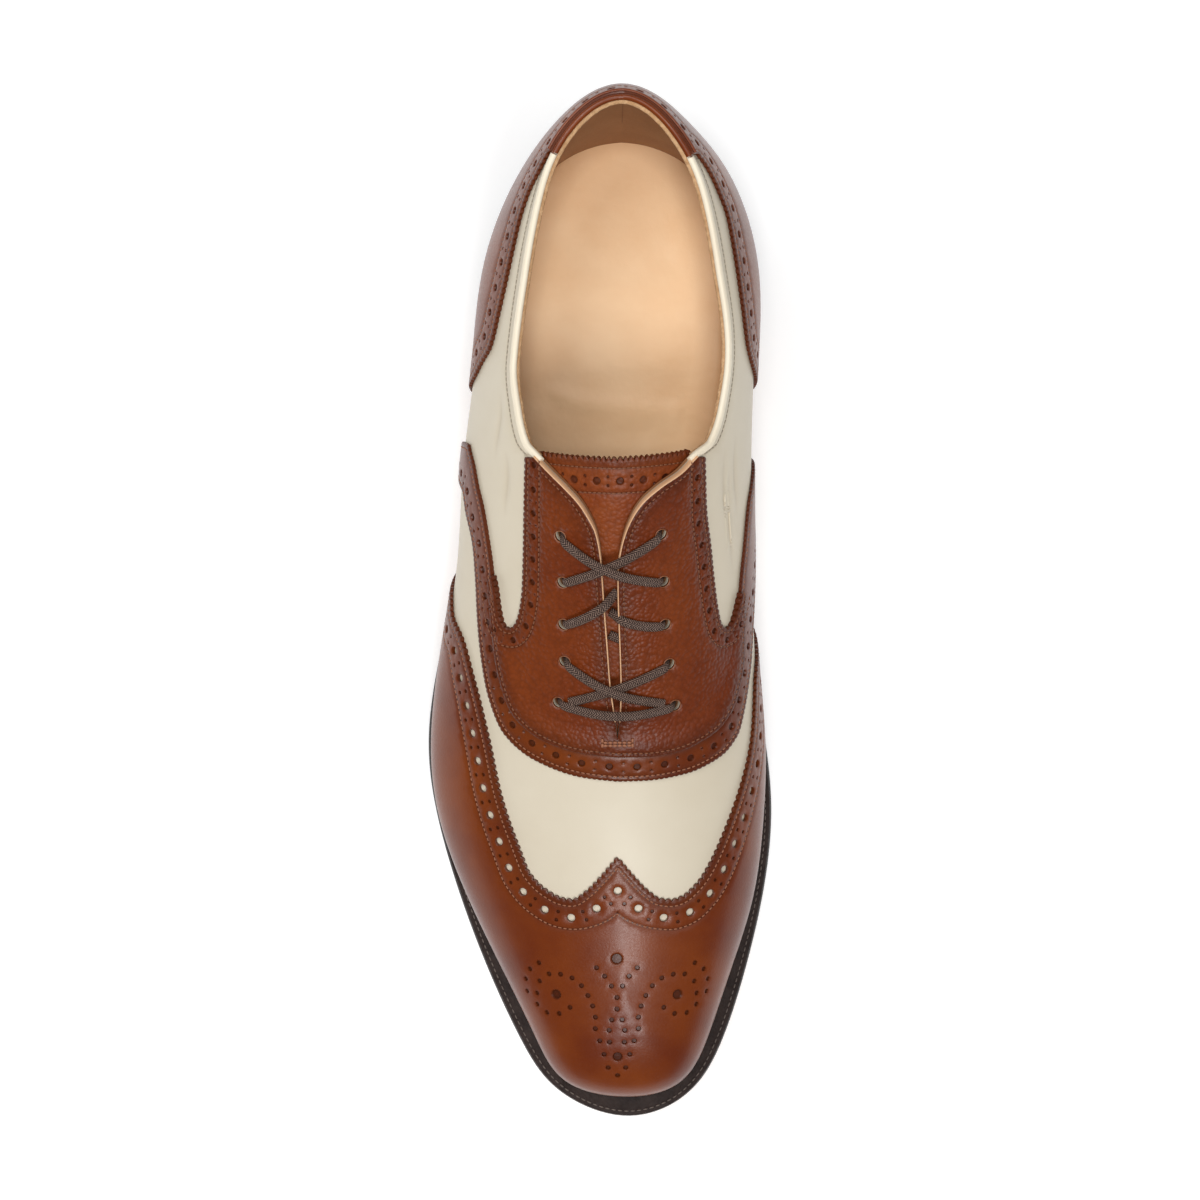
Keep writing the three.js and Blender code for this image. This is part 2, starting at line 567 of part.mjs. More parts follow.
/** A plate with a closed outline, its faces spanned straight across from side to side. */
function plate(outward, top, bottom) {
  const count = LOOP_PLACES.length;
  const upper = LOOP_PLACES.map((c) => outlinePoint(c, outward(c), top(c)));
  const lower = LOOP_PLACES.map((c) => outlinePoint(c, outward(c), bottom(c)));
  const triangles = [];
  const face = (a, b, c) => {
    if (a !== b && b !== c && c !== a) {
      triangles.push([a, b, c], [c + count, b + count, a + count]);
    }
  };
  for (let i = 0; i + 1 < COLUMNS.length; i += 1) {
    const facing = (k) => (count - k) % count;
    face(i, i + 1, facing(i + 1));
    face(i, facing(i + 1), facing(i));
  }
  for (let i = 0; i < count; i += 1) {
    const next = (i + 1) % count;
    triangles.push([next, i, i + count], [next, i + count, next + count]);
  }
  return bodyFromTriangles([...upper, ...lower], triangles);
}

/** A closed ring round the shoe from the corners of its section, outer top first. */
function ring(corners) {
  const count = LOOP_PLACES.length;
  const size = corners(0).length;
  const points = LOOP_PLACES.flatMap((c) => corners(c));
  const triangles = [];
  for (let i = 0; i < count; i += 1) {
    const here = i * size;
    const there = ((i + 1) % count) * size;
    for (let j = 0; j < size; j += 1) {
      const next = (j + 1) % size;
      triangles.push([here + j, there + next, here + next], [here + j, there + j, there + next]);
    }
  }
  return bodyFromTriangles(points, triangles);
}

const innerEdge = (c) => -wallThickness(c, 0);

/** The outsole: a curved plate, flat on the floor under the ball. */
function makeOutsole() {
  return plate(shape.margin, outsole.top, outsole.bottom);
}

/** The welt: a strip between the upper and the outsole, all round. */
function makeWelt() {
  return ring((c) => {
    const outer = shape.margin(c) - WELT_STEP;
    return [
      outlinePoint(c, outer, welt.top(c)),
      outlinePoint(c, innerEdge(c), welt.top(c)),
      outlinePoint(c, innerEdge(c), welt.bottom(c)),
      outlinePoint(c, outer, welt.bottom(c)),
    ];
  });
}

/** The insole, on the outsole and inside the welt and the wall of the upper. */
function makeInsole() {
  const inset = (c) => innerEdge(c) - CLEARANCE;
  const bottom = (c) => outsole.top(c) + CLEARANCE;
  return plate(inset, (c) => bottom(c) + INSOLE_THICKNESS, bottom);
}

/** Outline of a layer of the heel, smaller all round by an inset. */
function heelOutline(inset) {
  const rows = COLUMNS.filter((row) => row <= BREAST_ROW);
  const places = [...rows.slice(1).reverse().map((row) => LOOP - row), ...rows];
  const points = places.map((c) => outlinePoint(c, shape.margin(c) - inset, 0));
  const medial = points[0];
  const lateral = points[points.length - 1];
  const hollow = new THREE.Vector3().lerpVectors(lateral, medial, 0.5);
  hollow.y += 2 * BREAST_HOLLOW;
  const breast = new THREE.QuadraticBezierCurve3(lateral, hollow, medial).getPoints(8).slice(1, -1);
  const plan = new THREE.Shape();
  [...points, ...breast].forEach((p, i) => (i === 0 ? plan.moveTo(p.x, p.y) : plan.lineTo(p.x, p.y)));
  return plan;
}

/** The heel: leather lifts down from the sole and a rubber top piece on the floor. */
function makeHeel() {
  const seat = outsole.bottom(BREAST_ROW) - CLEARANCE;
  const lift = (seat - TOP_PIECE_THICKNESS) / HEEL_LIFTS;
  const slab = (depth, inset, z) => new THREE.ExtrudeGeometry(
    heelOutline(inset), { depth, bevelEnabled: false }).translate(0, 0, z);
  const lifts = steps(0, HEEL_LIFTS - 1, HEEL_LIFTS - 1).map((i) => (
    { name: `heel_lift_${i + 1}`, geometry: slab(lift, i * LIFT_STEP, seat - (i + 1) * lift) }));
  const topPiece = slab(TOP_PIECE_THICKNESS, HEEL_LIFTS * LIFT_STEP, 0);
  return [...lifts, { name: 'heel_top_piece', geometry: topPiece }];
}

const LACE_LIFT = 2 * CLEARANCE + OVERLAY_THICKNESS + LACE_THICKNESS / 2;

/** Place on the spread-out instep: across is minus on the lateral side and plus on the medial. */
function instepPlace({ side, row, v }) {
  return { across: (side === 'lateral' ? -1 : 1) * (1 - v), row };
}

/** A flat lace over the facings from one place to another, arched up by hump in its middle. */
function laceStrap(from, to, hump) {
  const a = instepPlace(from);
  const b = instepPlace(to);
  const centres = steps(0, 1, LACE_STEPS).map((t) => {
    const across = a.across + (b.across - a.across) * t;
    const row = a.row + (b.row - a.row) * t;
    const place = loopPlace(across < 0 ? 'lateral' : 'medial', row);
    const v = 1 - Math.abs(across);
    return {
      point: skinPoint(place, v, LACE_LIFT + hump * Math.sin(Math.PI * t) ** 2),
      normal: lastNormal(place, v),
    };
  });
  const points = centres.flatMap(({ point, normal }, i) => {
    const ahead = centres[Math.min(i + 1, LACE_STEPS)].point;
    const behind = centres[Math.max(i - 1, 0)].point;
    const along = ahead.clone().sub(behind).normalize();
    const sideways = new THREE.Vector3().crossVectors(normal, along).normalize();
    const up = new THREE.Vector3().crossVectors(along, sideways).normalize();
    return [[-1, 1], [1, 1], [1, -1], [-1, -1]].map(([s, u]) => point.clone()
      .addScaledVector(sideways, s * LACE_WIDTH / 2)
      .addScaledVector(up, u * LACE_THICKNESS / 2));
  });
  const triangles = [[0, 1, 2], [0, 2, 3]];
  for (let i = 0; i < LACE_STEPS; i += 1) {
    for (let j = 0; j < 4; j += 1) {
      const here = 4 * i + j;
      const next = 4 * i + ((j + 1) % 4);
      triangles.push([here, here + 4, next + 4], [here, next + 4, next]);
    }
  }
  const end = 4 * LACE_STEPS;
  triangles.push([end + 2, end + 1, end], [end + 3, end + 2, end]);
  return toSolid(bodyFromTriangles(points, triangles));
}

/** Straps of lace joined where they cross. */
function joinStraps(straps) {
  return fromSolid(straps.reduce((all, strap) => all.add(strap)));
}

/** The lace over the facings: a top cross, a middle one that dives in, and the lower cross and bar. */
function makeLaces() {
  const over = LACE_THICKNESS - LACE_OVERLAP;
  const towards = (from, to, share) => ({
    side: share < 0.5 ? from.side : to.side,
    row: from.row + (to.row - from.row) * share,
    v: 1 - Math.abs((1 - from.v) - share * (2 - from.v - to.v)),
  });
  const [l1, l2, l3, l4, l5] = EYELETS.map((_, pair) => eyelet('lateral', pair));
  const [r1, r2, r3, r4, r5] = EYELETS.map((_, pair) => eyelet('medial', pair));
  const topCross = [laceStrap(r1, l2, 0), laceStrap(l1, r2, over)];
  const middle = [
    laceStrap(l3, { ...towards(l3, r2, DIVE_SHARE), row: l3.row - DIVE_ROWS.lateral }, 0),
    laceStrap(r3, { ...towards(r3, l2, DIVE_SHARE), row: r3.row - DIVE_ROWS.medial }, over),
  ];
  const lower = [
    laceStrap(r4, towards(r4, l5, LOWER_REACH), 0),
    laceStrap(l4, towards(l4, r5, LOWER_REACH), over),
    laceStrap(l5, r5, over),
  ];
  return [
    { name: 'lace_top_cross', geometry: joinStraps(topCross) },
    { name: 'lace_middle_cross', geometry: joinStraps(middle) },
    { name: 'lace_lower_cross', geometry: joinStraps(lower) },
  ];
}

const FINISHES = {
  creamCalf: { color: 0xe4d9c5, roughness: 0.5, metalness: 0 },
  brownCalf: { color: 0x6d2f16, roughness: 0.35, metalness: 0 },
  tongueCalf: { color: 0x89492d, roughness: 0.55, metalness: 0 },
  insoleLeather: { color: 0xe2bd99, roughness: 0.6, metalness: 0 },
  soleLeather: { color: 0x2b2220, roughness: 0.5, metalness: 0 },
  weltLeather: { color: 0x3a2c28, roughness: 0.5, metalness: 0 },
  heelRubber: { color: 0x1c1a1a, roughness: 0.8, metalness: 0 },
  laceCotton: { color: 0x4a3024, roughness: 0.7, metalness: 0 },
};

/** A named mesh of one finish. */
function part(name, geometry, finish) {
  const mesh = new THREE.Mesh(geometry, new THREE.MeshStandardMaterial(FINISHES[finish]));
  mesh.name = name;
  return mesh;
}

const shoe = new THREE.Group();
shoe.add(part('outsole', makeOutsole(), 'soleLeather'));
shoe.add(part('welt', makeWelt(), 'weltLeather'));
for (const { name, geometry } of makeHeel()) {
  shoe.add(part(name, geometry, name === 'heel_top_piece' ? 'heelRubber' : 'soleLeather'));
}
shoe.add(part('insole', makeInsole(), 'insoleLeather'));
shoe.add(part('upper', cutEyelets(toSolid(makeUpper())), 'creamCalf'));
shoe.add(part('wing_cap', makeWingCap(), 'brownCalf'));
shoe.add(part('facing', makeFacing(), 'brownCalf'));
shoe.add(part('band', makeBand(), 'brownCalf'));
shoe.add(part('counter', makeCounter(), 'brownCalf'));
shoe.add(part('tongue', makeTongue(), 'tongueCalf'));
for (const { name, geometry } of makeLaces()) {
  shoe.add(part(name, geometry, 'laceCotton'));
}

// The origin is under the middle of the shoe's outline.
const extent = new THREE.Box3().setFromObject(shoe);
const middle = extent.getCenter(new THREE.Vector3());
shoe.position.set(-middle.x, -middle.y, 0);
const brogue = new THREE.Group();
brogue.add(shoe);

export default brogue;
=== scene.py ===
"""A two-tone wingtip Oxford for a right foot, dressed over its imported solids.

Millimetres are used while shapes are worked out, and metres once they become meshes. The toe points
to -Y and the inner side of the foot is +X. A place on the upper is a loop place c, which runs from
the heel (0) down the outer side to the toe (14) and back up the inner side to the heel (28), and a
height v, from the feather edge (0) up to the ridge over the instep (1). Patterns are drawn on the
upper spread flat, as a pattern cutter does, and every panel is then laid back on the last.
"""
import logging
import math
from dataclasses import dataclass, field
from enum import Enum
from typing import Callable, Sequence

import bpy
import numpy as np
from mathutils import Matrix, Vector, kdtree
from mathutils.geometry import delaunay_2d_cdt


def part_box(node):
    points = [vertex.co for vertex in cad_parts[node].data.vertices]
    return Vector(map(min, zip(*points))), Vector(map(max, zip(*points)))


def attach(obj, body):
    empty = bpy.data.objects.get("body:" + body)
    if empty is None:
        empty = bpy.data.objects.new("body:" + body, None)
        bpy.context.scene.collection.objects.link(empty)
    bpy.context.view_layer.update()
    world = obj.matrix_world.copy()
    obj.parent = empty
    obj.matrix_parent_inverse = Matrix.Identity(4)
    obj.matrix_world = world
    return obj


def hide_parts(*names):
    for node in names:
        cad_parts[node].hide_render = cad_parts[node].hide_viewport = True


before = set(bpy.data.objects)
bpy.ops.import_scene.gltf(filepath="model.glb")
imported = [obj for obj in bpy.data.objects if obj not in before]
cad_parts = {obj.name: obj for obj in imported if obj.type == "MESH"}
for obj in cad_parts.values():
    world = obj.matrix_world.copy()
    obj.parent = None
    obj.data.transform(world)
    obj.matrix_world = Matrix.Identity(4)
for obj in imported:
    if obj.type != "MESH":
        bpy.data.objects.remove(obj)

log = logging.getLogger("oxford")
logging.basicConfig(level=logging.INFO, format="%(name)s: %(message)s")

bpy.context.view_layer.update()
MM = 0.001
TOE = 14.0
LOOP = 28.0
BULGE = 0.22
FOOT = 0.014
THROAT_ROW = 7.92

# Last in plan, from heel to toe: y, lateral, medial, heel, spring, stiffener, then how far the
# sole stands out on the outer and the inner side, in millimetres.
PLAN = np.array([
    [0.0000, 0.0696, 0.0696, 1.000, 0.00, 1.00, 1.5, 1.5],
    [0.0252, -0.1210, 0.2602, 1.000, 0.00, 0.95, 1.5, 1.5],
    [0.0822, -0.2463, 0.3833, 1.000, 0.00, 0.80, 1.5, 1.5],
    [0.1694, -0.3051, 0.4315, 1.000, 0.00, 0.45, 1.5, 1.5],
    [0.2633, -0.3373, 0.4176, 0.928, 0.00, 0.10, 2.0, 2.0],
    [0.3573, -0.3587, 0.3854, 0.648, 0.00, 0.00, 3.0, 2.5],
    [0.4512, -0.4122, 0.3961, 0.312, 0.00, 0.00, 4.5, 3.5],
    [0.5451, -0.4690, 0.4422, 0.088, 0.00, 0.00, 5.5, 4.5],
    [0.6323, -0.5186, 0.4833, 0.000, 0.00, 0.00, 4.7, 5.6],
    [0.7128, -0.5007, 0.5029, 0.000, -0.02, 0.00, 3.8, 6.0],
    [0.7933, -0.4111, 0.4744, 0.000, 0.06, 0.00, 5.2, 6.1],
    [0.8671, -0.2967, 0.4036, 0.000, 0.275, 0.00, 7.2, 7.4],
    [0.9304, -0.1955, 0.3331, 0.000, 0.61, 0.00, 7.5, 7.6],
    [0.9744, -0.0988, 0.2484, 0.000, 0.882, 0.00, 7.2, 7.8],
    [0.9880, 0.0855, 0.0855, 0.000, 1.00, 0.00, 10.0, 10.0],
])

# Last in section, for the same rows: ridge y, ridge x, ridge height, bulge on each side, rise,
# fullness and crown on the outer side, the same on the inner side, and the fall of the ridge.
SECTION = np.array([
    [0.1426, 0.0685, 1.3300, 0.0060, 0.0060, 0.356, 0.28, 0.97, 0.28, 0.97, 0.08],
    [0.1510, 0.0685, 1.3200, -0.0120, -0.0120, 0.356, 0.28, 0.97, 0.25, 0.92, 0.08],
    [0.1761, 0.0675, 1.2800, 0.0040, 0.0140, 0.356, 0.28, 0.78, 0.28, 0.69, 0.09],
    [0.2164, 0.0642, 1.2200, 0.0500, 0.0520, 0.356, 0.26, 0.51, 0.26, 0.53, 0.12],
    [0.2768, 0.0557, 1.1780, 0.0550, 0.0650, 0.356, 0.22, 0.48, 0.36, 0.56, 0.18],
    [0.3606, 0.0493, 1.2023, 0.0728, 0.0900, 0.388, 0.38, 0.42, 0.45, 0.50, 0.36],
    [0.4512, 0.0321, 1.1197, 0.0428, 0.0870, 0.372, 0.40, 0.42, 0.50, 0.50, 0.48],
    [0.5451, 0.0418, 1.0000, 0.0343, 0.0550, 0.307, 0.42, 0.42, 0.55, 0.50, 0.44],
    [0.6323, 0.0535, 0.8495, 0.0171, 0.0385, 0.243, 0.45, 0.45, 0.60, 0.50, 0.39],
    [0.7095, 0.0535, 0.7152, 0.0107, 0.0150, 0.194, 0.50, 0.50, 0.60, 0.52, 0.33],
    [0.7766, 0.0557, 0.6230, 0.0086, 0.0107, 0.162, 0.55, 0.52, 0.60, 0.55, 0.29],
    [0.8303, 0.0621, 0.5350, 0.0086, 0.0086, 0.146, 0.58, 0.55, 0.60, 0.55, 0.25],
    [0.8672, 0.0685, 0.4540, 0.0086, 0.0086, 0.129, 0.60, 0.55, 0.60, 0.55, 0.22],
    [0.8890, 0.0739, 0.3990, 0.0086, 0.0086, 0.121, 0.60, 0.55, 0.60, 0.55, 0.20],
    [0.8957, 0.0749, 0.3740, 0.0086, 0.0086, 0.121, 0.60, 0.55, 0.60, 0.55, 0.20],
])

# Pattern lines. Topline, counter: row, height on the outer side, height on the inner side.
TOPLINE = np.array([
    [0, 0.631, 0.631], [1, 0.635, 0.648], [2, 0.627, 0.627], [3, 0.601, 0.601],
    [4, 0.582, 0.551], [4.5, 0.618, 0.576], [4.84, 0.659, 0.625], [4.98, 0.705, 0.697],
    [5.14, 0.762, 0.757], [5.29, 0.818, 0.837], [5.45, 0.873, 0.900], [5.6, 0.911, 0.933],
    [5.75, 0.940, 0.953], [5.93, 0.957, 0.967], [6.13, 0.966, 0.975], [6.85, 0.977, 0.977],
    [7.28, 0.981, 0.980], [7.66, 0.992, 0.988], [THROAT_ROW, 1, 1],
])
COUNTER_EDGE = np.array([
    [1.56, 0.613, 0.600], [1.83, 0.596, 0.566], [2.17, 0.560, 0.538], [2.47, 0.541, 0.517],
    [2.8, 0.530, 0.513], [3.15, 0.514, 0.500], [3.5, 0.488, 0.473], [3.83, 0.453, 0.430],
    [4.0, 0.385, 0.372], [4.12, 0.325, 0.285], [4.2, 0.234, 0.176], [4.3, FOOT, FOOT],
])
# Band and wing: height, row on the outer side, row on the inner side.
BAND_INNER = np.array([
    [0, 4.80, 4.86], [0.2, 4.79, 4.98], [0.351, 4.83, 5.38], [0.374, 4.90, 5.51],
    [0.413, 5.04, 5.88], [0.453, 5.28, 6.30], [0.484, 5.46, 7.05], [0.530, 5.85, 7.38],
    [0.558, 6.13, 7.534], [0.597, 6.69, 7.67], [0.640, 7.22, 7.79], [0.702, 7.66, 7.902],
    [0.802, 7.924, 8.03], [0.9, 8.04, 8.078], [1, 8.084, 8.084],
])
BAND_OUTER = np.array([
    [0, 5.12, 5.25], [0.2, 5.16, 5.75], [0.334, 5.298, 6.63], [0.377, 5.516, 7.0],
    [0.438, 5.817, 7.39], [0.475, 6.168, 7.62], [0.522, 6.738, 7.89], [0.552, 7.067, 7.99],
    [0.591, 7.451, 8.10], [0.657, 7.885, 8.22], [0.760, 8.191, 8.35], [0.901, 8.394, 8.43],
    [1, 8.443, 8.443],
])
WING_EDGE = np.array([
    [0, 6.05, 6.50], [0.15, 6.19, 6.75], [0.268, 6.40, 7.05], [0.334, 6.60, 7.25],
    [0.435, 6.84, 8.08], [0.533, 7.377, 8.80], [0.601, 8.012, 9.265], [0.644, 8.685, 9.545],
    [0.684, 9.346, 9.77], [0.70, 9.67, 9.84], [0.76, 9.97, 10.04], [0.81, 10.09, 10.105],
    [0.845, 10.119, 10.105], [0.9, 10.0, 9.99], [0.95, 9.80, 9.79], [1, 9.537, 9.537],
])
# Facing beside the light quarter: row and height on the outer side, then on the inner side.
FACING_EDGE = np.array([
    [4.98, 0.674, 4.98, 0.666], [5.27, 0.677, 5.17, 0.660], [5.55, 0.681, 5.52, 0.650],
    [6.015, 0.689, 5.88, 0.629], [6.32, 0.692, 6.25, 0.613], [6.52, 0.687, 6.51, 0.599],
    [6.68, 0.672, 6.68, 0.574], [6.73, 0.650, 6.76, 0.540], [6.70, 0.625, 6.74, 0.505],
    [6.62, 0.600, 6.66, 0.478],
])
TONGUE_EDGE = np.array([[4.97, 0.680], [5.6, 0.700], [6.4, 0.740], [7.4, 0.780], [8.5, 0.840]])
EYELETS = np.array([
    [5.779, 0.817, 5.759, 0.828], [6.243, 0.832, 6.233, 0.819], [6.668, 0.837, 6.668, 0.817],
    [7.052, 0.841, 7.081, 0.808], [7.502, 0.823, 7.537, 0.795],
])


class Side(Enum):
    """The two sides of the foot."""

    LATERAL = 1
    MEDIAL = 2

    def place(self, row: np.ndarray) -> np.ndarray:
        """Loop places of rows on this side."""
        return row if self is Side.LATERAL else LOOP - row


class ClosedCurve:
    """A smooth closed curve through values given for each row on both sides."""

    def __init__(self, lateral: np.ndarray, medial: np.ndarray) -> None:
        """Settles the slopes so that the curve bends evenly.

        Args:
            lateral: Values from heel to toe on the outer side.
            medial: Values from heel to toe on the inner side.
        """
        self.values = np.concatenate([lateral, medial[-2:0:-1]])
        self.slopes = np.zeros_like(self.values)
        for _ in range(60):
            chord = np.roll(self.values, -1) - np.roll(self.values, 1)
            around = np.roll(self.slopes, -1) + np.roll(self.slopes, 1)
            self.slopes = (3 * chord - around) / 4

    def __call__(self, place: np.ndarray) -> np.ndarray:
        """Values at loop places."""
        count = len(self.values)
        low = np.floor(place).astype(int)
        t = place - low
        a, b = low % count, (low + 1) % count
        return ((2 * t**3 - 3 * t**2 + 1) * self.values[a] + (t**3 - 2 * t**2 + t) * self.slopes[a]
                + (3 * t**2 - 2 * t**3) * self.values[b] + (t**3 - t**2) * self.slopes[b])


def smooth_line(xs: np.ndarray, ys: np.ndarray, at: np.ndarray) -> np.ndarray:
    """A smooth curve y(x) that never overshoots its points.

    Args:
        xs: Rising places of the points.
        ys: Their values.
        at: Places to read.

    Returns:
        The curve's values there.
    """
    chord = np.diff(ys) / np.diff(xs)
    slope = np.empty(len(xs))
    slope[0], slope[-1] = chord[0], chord[-1]
    product = chord[:-1] * chord[1:]
    total = np.where(product > 0, chord[:-1] + chord[1:], 1)
    slope[1:-1] = np.where(product > 0, 2 * product / total, 0)
    at = np.clip(at, xs[0], xs[-1])
    low = np.clip(np.searchsorted(xs, at, side="right") - 1, 0, len(xs) - 2)
    width = xs[low + 1] - xs[low]
    t = (at - xs[low]) / width
    return ((2 * t**3 - 3 * t**2 + 1) * ys[low] + (t**3 - 2 * t**2 + t) * slope[low] * width
            + (3 * t**2 - 2 * t**3) * ys[low + 1] + (t**3 - t**2) * slope[low + 1] * width)


def smoothstep(low: float, high: float, value: np.ndarray) -> np.ndarray:
    """Rises softly from 0 at low to 1 at high."""
    t = np.clip((value - low) / (high - low), 0, 1)
    return t * t * (3 - 2 * t)


def unit(vectors: np.ndarray) -> np.ndarray:
    """The same vectors, one long."""
    return vectors / np.maximum(np.linalg.norm(vectors, axis=-1, keepdims=True), 1e-12)


@dataclass
class Last:
    """The foot's form: gives points of the upper's outer face, and spreads it flat and back."""

    length: float = 298.1
    width: float = 93.4
    instep: float = 61.8
    heel: float = 25.0
    spring: float = 10.2
    heel_point: float = 150.5
    sole: float = 4.8
    welt: float = 2.6
    gap: float = 0.3
    wall: float = 2.2
    stiffener: float = 2.3
    shift: np.ndarray = field(default_factory=lambda: np.zeros(3))

    def __post_init__(self) -> None:
        """Makes the curves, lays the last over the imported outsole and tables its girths."""
        plan = [ClosedCurve(PLAN[:, i], PLAN[:, j])
                for i, j in ((0, 0), (1, 2), (3, 3), (4, 4), (5, 5), (6, 7))]
        self.feather_y, self.feather_x, self.lift, self.toe_lift, self.stiff, self.margin = plan
        section = [ClosedCurve(SECTION[:, i], SECTION[:, j])
                   for i, j in ((0, 0), (1, 1), (2, 2), (3, 4), (5, 5), (6, 8), (7, 9), (10, 10))]
        (self.ridge_y, self.ridge_x, self.ridge_z, self.bulge, self.rise,
         self.full, self.crown, self.fall) = section
        outline = self.outline(np.linspace(0, LOOP, 561), self.margin(np.linspace(0, LOOP, 561)))
        low, high = (np.array(corner)[:2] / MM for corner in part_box("outsole"))
        middle = (outline[:, :2].min(axis=0) + outline[:, :2].max(axis=0)) / 2
        self.shift = np.array([*((low + high) / 2 - middle), 0.0])
        self.rows = np.linspace(0, LOOP, 449)
        self.heights = np.linspace(0, 1, 97)
        grid = self.surface(*np.meshgrid(self.rows, self.heights, indexing="ij"))
        steps = np.linalg.norm(np.diff(grid, axis=1), axis=2)
        self.girths = np.concatenate(
            [np.cumsum(steps[:, ::-1], axis=1)[:, ::-1], np.zeros((len(self.rows), 1))], axis=1)
        seeds = np.meshgrid(self.rows[::3], self.heights[::6], indexing="ij")
        self.seed_places = seeds[0].ravel()
        self.seed_flat = self.flat(seeds[0].ravel(), seeds[1].ravel())

    def feather(self, c: np.ndarray) -> np.ndarray:
        """Points of the feather edge at loop places."""
        height = self.sole + self.welt + 2 * self.gap
        points = np.stack([
            self.width * self.feather_x(c), self.heel_point - self.length * self.feather_y(c),
            height + self.heel * self.lift(c) + self.spring * self.toe_lift(c)], axis=-1)
        return points + self.shift

    def outline(self, c: np.ndarray, outward: np.ndarray) -> np.ndarray:
        """The feather edge moved straight outwards in plan.

        Args:
            c: Loop places.
            outward: Distances.

        Returns:
            Points, level with the feather edge.
        """
        along = self.feather(c + 0.001) - self.feather(c - 0.001)
        away = unit(np.stack([along[..., 1], -along[..., 0], np.zeros(len(c))], axis=-1))
        return self.feather(c) + away * np.asarray(outward)[..., None]

    def ridge(self, c: np.ndarray) -> np.ndarray:
        """Points of the ridge at loop places."""
        plan = np.stack([self.width * self.ridge_x(c),
                         self.heel_point - self.length * self.ridge_y(c)], axis=-1)
        height = self.feather(c)[..., 2:] + self.instep * self.ridge_z(c)[..., None]
        return np.concatenate([plan + self.shift[:2], height], axis=-1)

    def surface(self, c: np.ndarray, v: np.ndarray) -> np.ndarray:
        """Points of the outer face.

        Args:
            c: Loop places.
            v: Heights.

        Returns:
            One point for each place.
        """
        foot, ridge = self.feather(c), self.ridge(c)
        away = foot - ridge
        away[..., 2] = 0
        reach = np.linalg.norm(away, axis=-1, keepdims=True)
        away /= reach
        bulge = self.width * self.bulge(c)[..., None]
        rise = self.instep * self.rise(c)[..., None]
        up = np.zeros_like(foot)
        up[..., 2] = 1
        belly = foot + away * bulge + up * rise
        knee = belly - up * rise / 2
        t = np.clip(v / BULGE, 0, 1)[..., None]
        low = (1 - t)**2 * foot + 2 * (1 - t) * t * knee + t * t * belly
        wall = belly + up * self.full(c)[..., None] * (ridge - belly)[..., 2:]
        crown = self.crown(c)[..., None] * (reach + bulge)
        top = ridge + away * crown + up * crown * away[..., 1:2] * self.fall(c)[..., None]
        s = np.clip((v - BULGE) / (1 - BULGE), 0, 1)[..., None]
        high = ((1 - s)**3 * belly + 3 * (1 - s)**2 * s * wall
                + 3 * (1 - s) * s * s * top + s**3 * ridge)
        return np.where((v < BULGE)[..., None], low, high)

    def slope(self, c: np.ndarray, v: np.ndarray) -> tuple[np.ndarray, np.ndarray]:
        """How the outer face runs along the loop and up the wall."""
        high, low = np.minimum(v + 0.003, 1), np.maximum(v - 0.003, 0)
        along = (self.surface(c + 0.01, v) - self.surface(c - 0.01, v)) / 0.02
        up = (self.surface(c, high) - self.surface(c, low)) / (high - low)[..., None]
        return along, up

    def own_normal(self, c: np.ndarray, v: np.ndarray) -> np.ndarray:
        """Outward direction from one side of the ridge alone."""
        normal = unit(np.cross(*self.slope(c, v)))
        level = normal.copy()
        level[..., 2] = 0
        share = np.clip(v / BULGE, 0, 1)[..., None]
        return unit(unit(level) * (1 - share) + normal * share)

    def normal(self, c: np.ndarray, v: np.ndarray) -> np.ndarray:
        """Outward direction, the same from both sides of the ridge."""
        top = np.ones_like(v)
        shared = unit(self.own_normal(c, top) + self.own_normal(LOOP - c, top))
        share = smoothstep(0.95, 1.0, v)[..., None]
        return unit(self.own_normal(c, v) * (1 - share) + shared * share)

    def skin(self, c: np.ndarray, v: np.ndarray, lift: np.ndarray | float) -> np.ndarray:
        """Points at a lift over the outer face."""
        return self.surface(c, v) + self.normal(c, v) * np.asarray(lift)[..., None]

    def thickness(self, c: np.ndarray, v: np.ndarray) -> np.ndarray:
        """Wall of the upper, with the stiffener running out above the heel seat."""
        return self.wall + self.stiffener * self.stiff(c) * np.clip(1 - v / 0.5, 0, 1)

    def girth(self, c: np.ndarray) -> np.ndarray:
        """Distances over the skin down from the ridge, for each tabled height."""
        place = (c % LOOP) / LOOP * (len(self.rows) - 1)
        low = np.minimum(place.astype(int), len(self.rows) - 2)
        t = (place - low)[:, None]
        return self.girths[low] * (1 - t) + self.girths[low + 1] * t

    def ray(self, c: np.ndarray) -> tuple[np.ndarray, np.ndarray]:
        """Start and direction in plan of the wall's line, spread flat from the ridge."""
        start = self.ridge(c)[:, :2]
        return start, unit(self.feather(c)[:, :2] - start)

    def flat(self, c: np.ndarray, v: np.ndarray) -> np.ndarray:
        """Places spread flat, in millimetres."""
        c, v = np.broadcast_arrays(np.asarray(c, float), np.asarray(v, float))
        start, away = self.ray(c)
        table = self.girth(c)
        place = np.clip(v, 0, 1) * (len(self.heights) - 1)
        low = np.minimum(place.astype(int), len(self.heights) - 2)
        t = place - low
        line = np.arange(len(c))
        return start + away * (table[line, low] * (1 - t) + table[line, low + 1] * t)[:, None]

    def locate(self, flat: np.ndarray) -> tuple[np.ndarray, np.ndarray]:
        """Loop places and heights of points that are spread flat.

        Args:
            flat: Points, one in each row.

        Returns:
            Loop places and heights.
        """
        c = np.empty(len(flat))
        for start in range(0, len(flat), 2000):
            part = flat[start:start + 2000]
            gap = ((part[:, None, :] - self.seed_flat[None]) ** 2).sum(axis=2)
            c[start:start + 2000] = self.seed_places[gap.argmin(axis=1)]

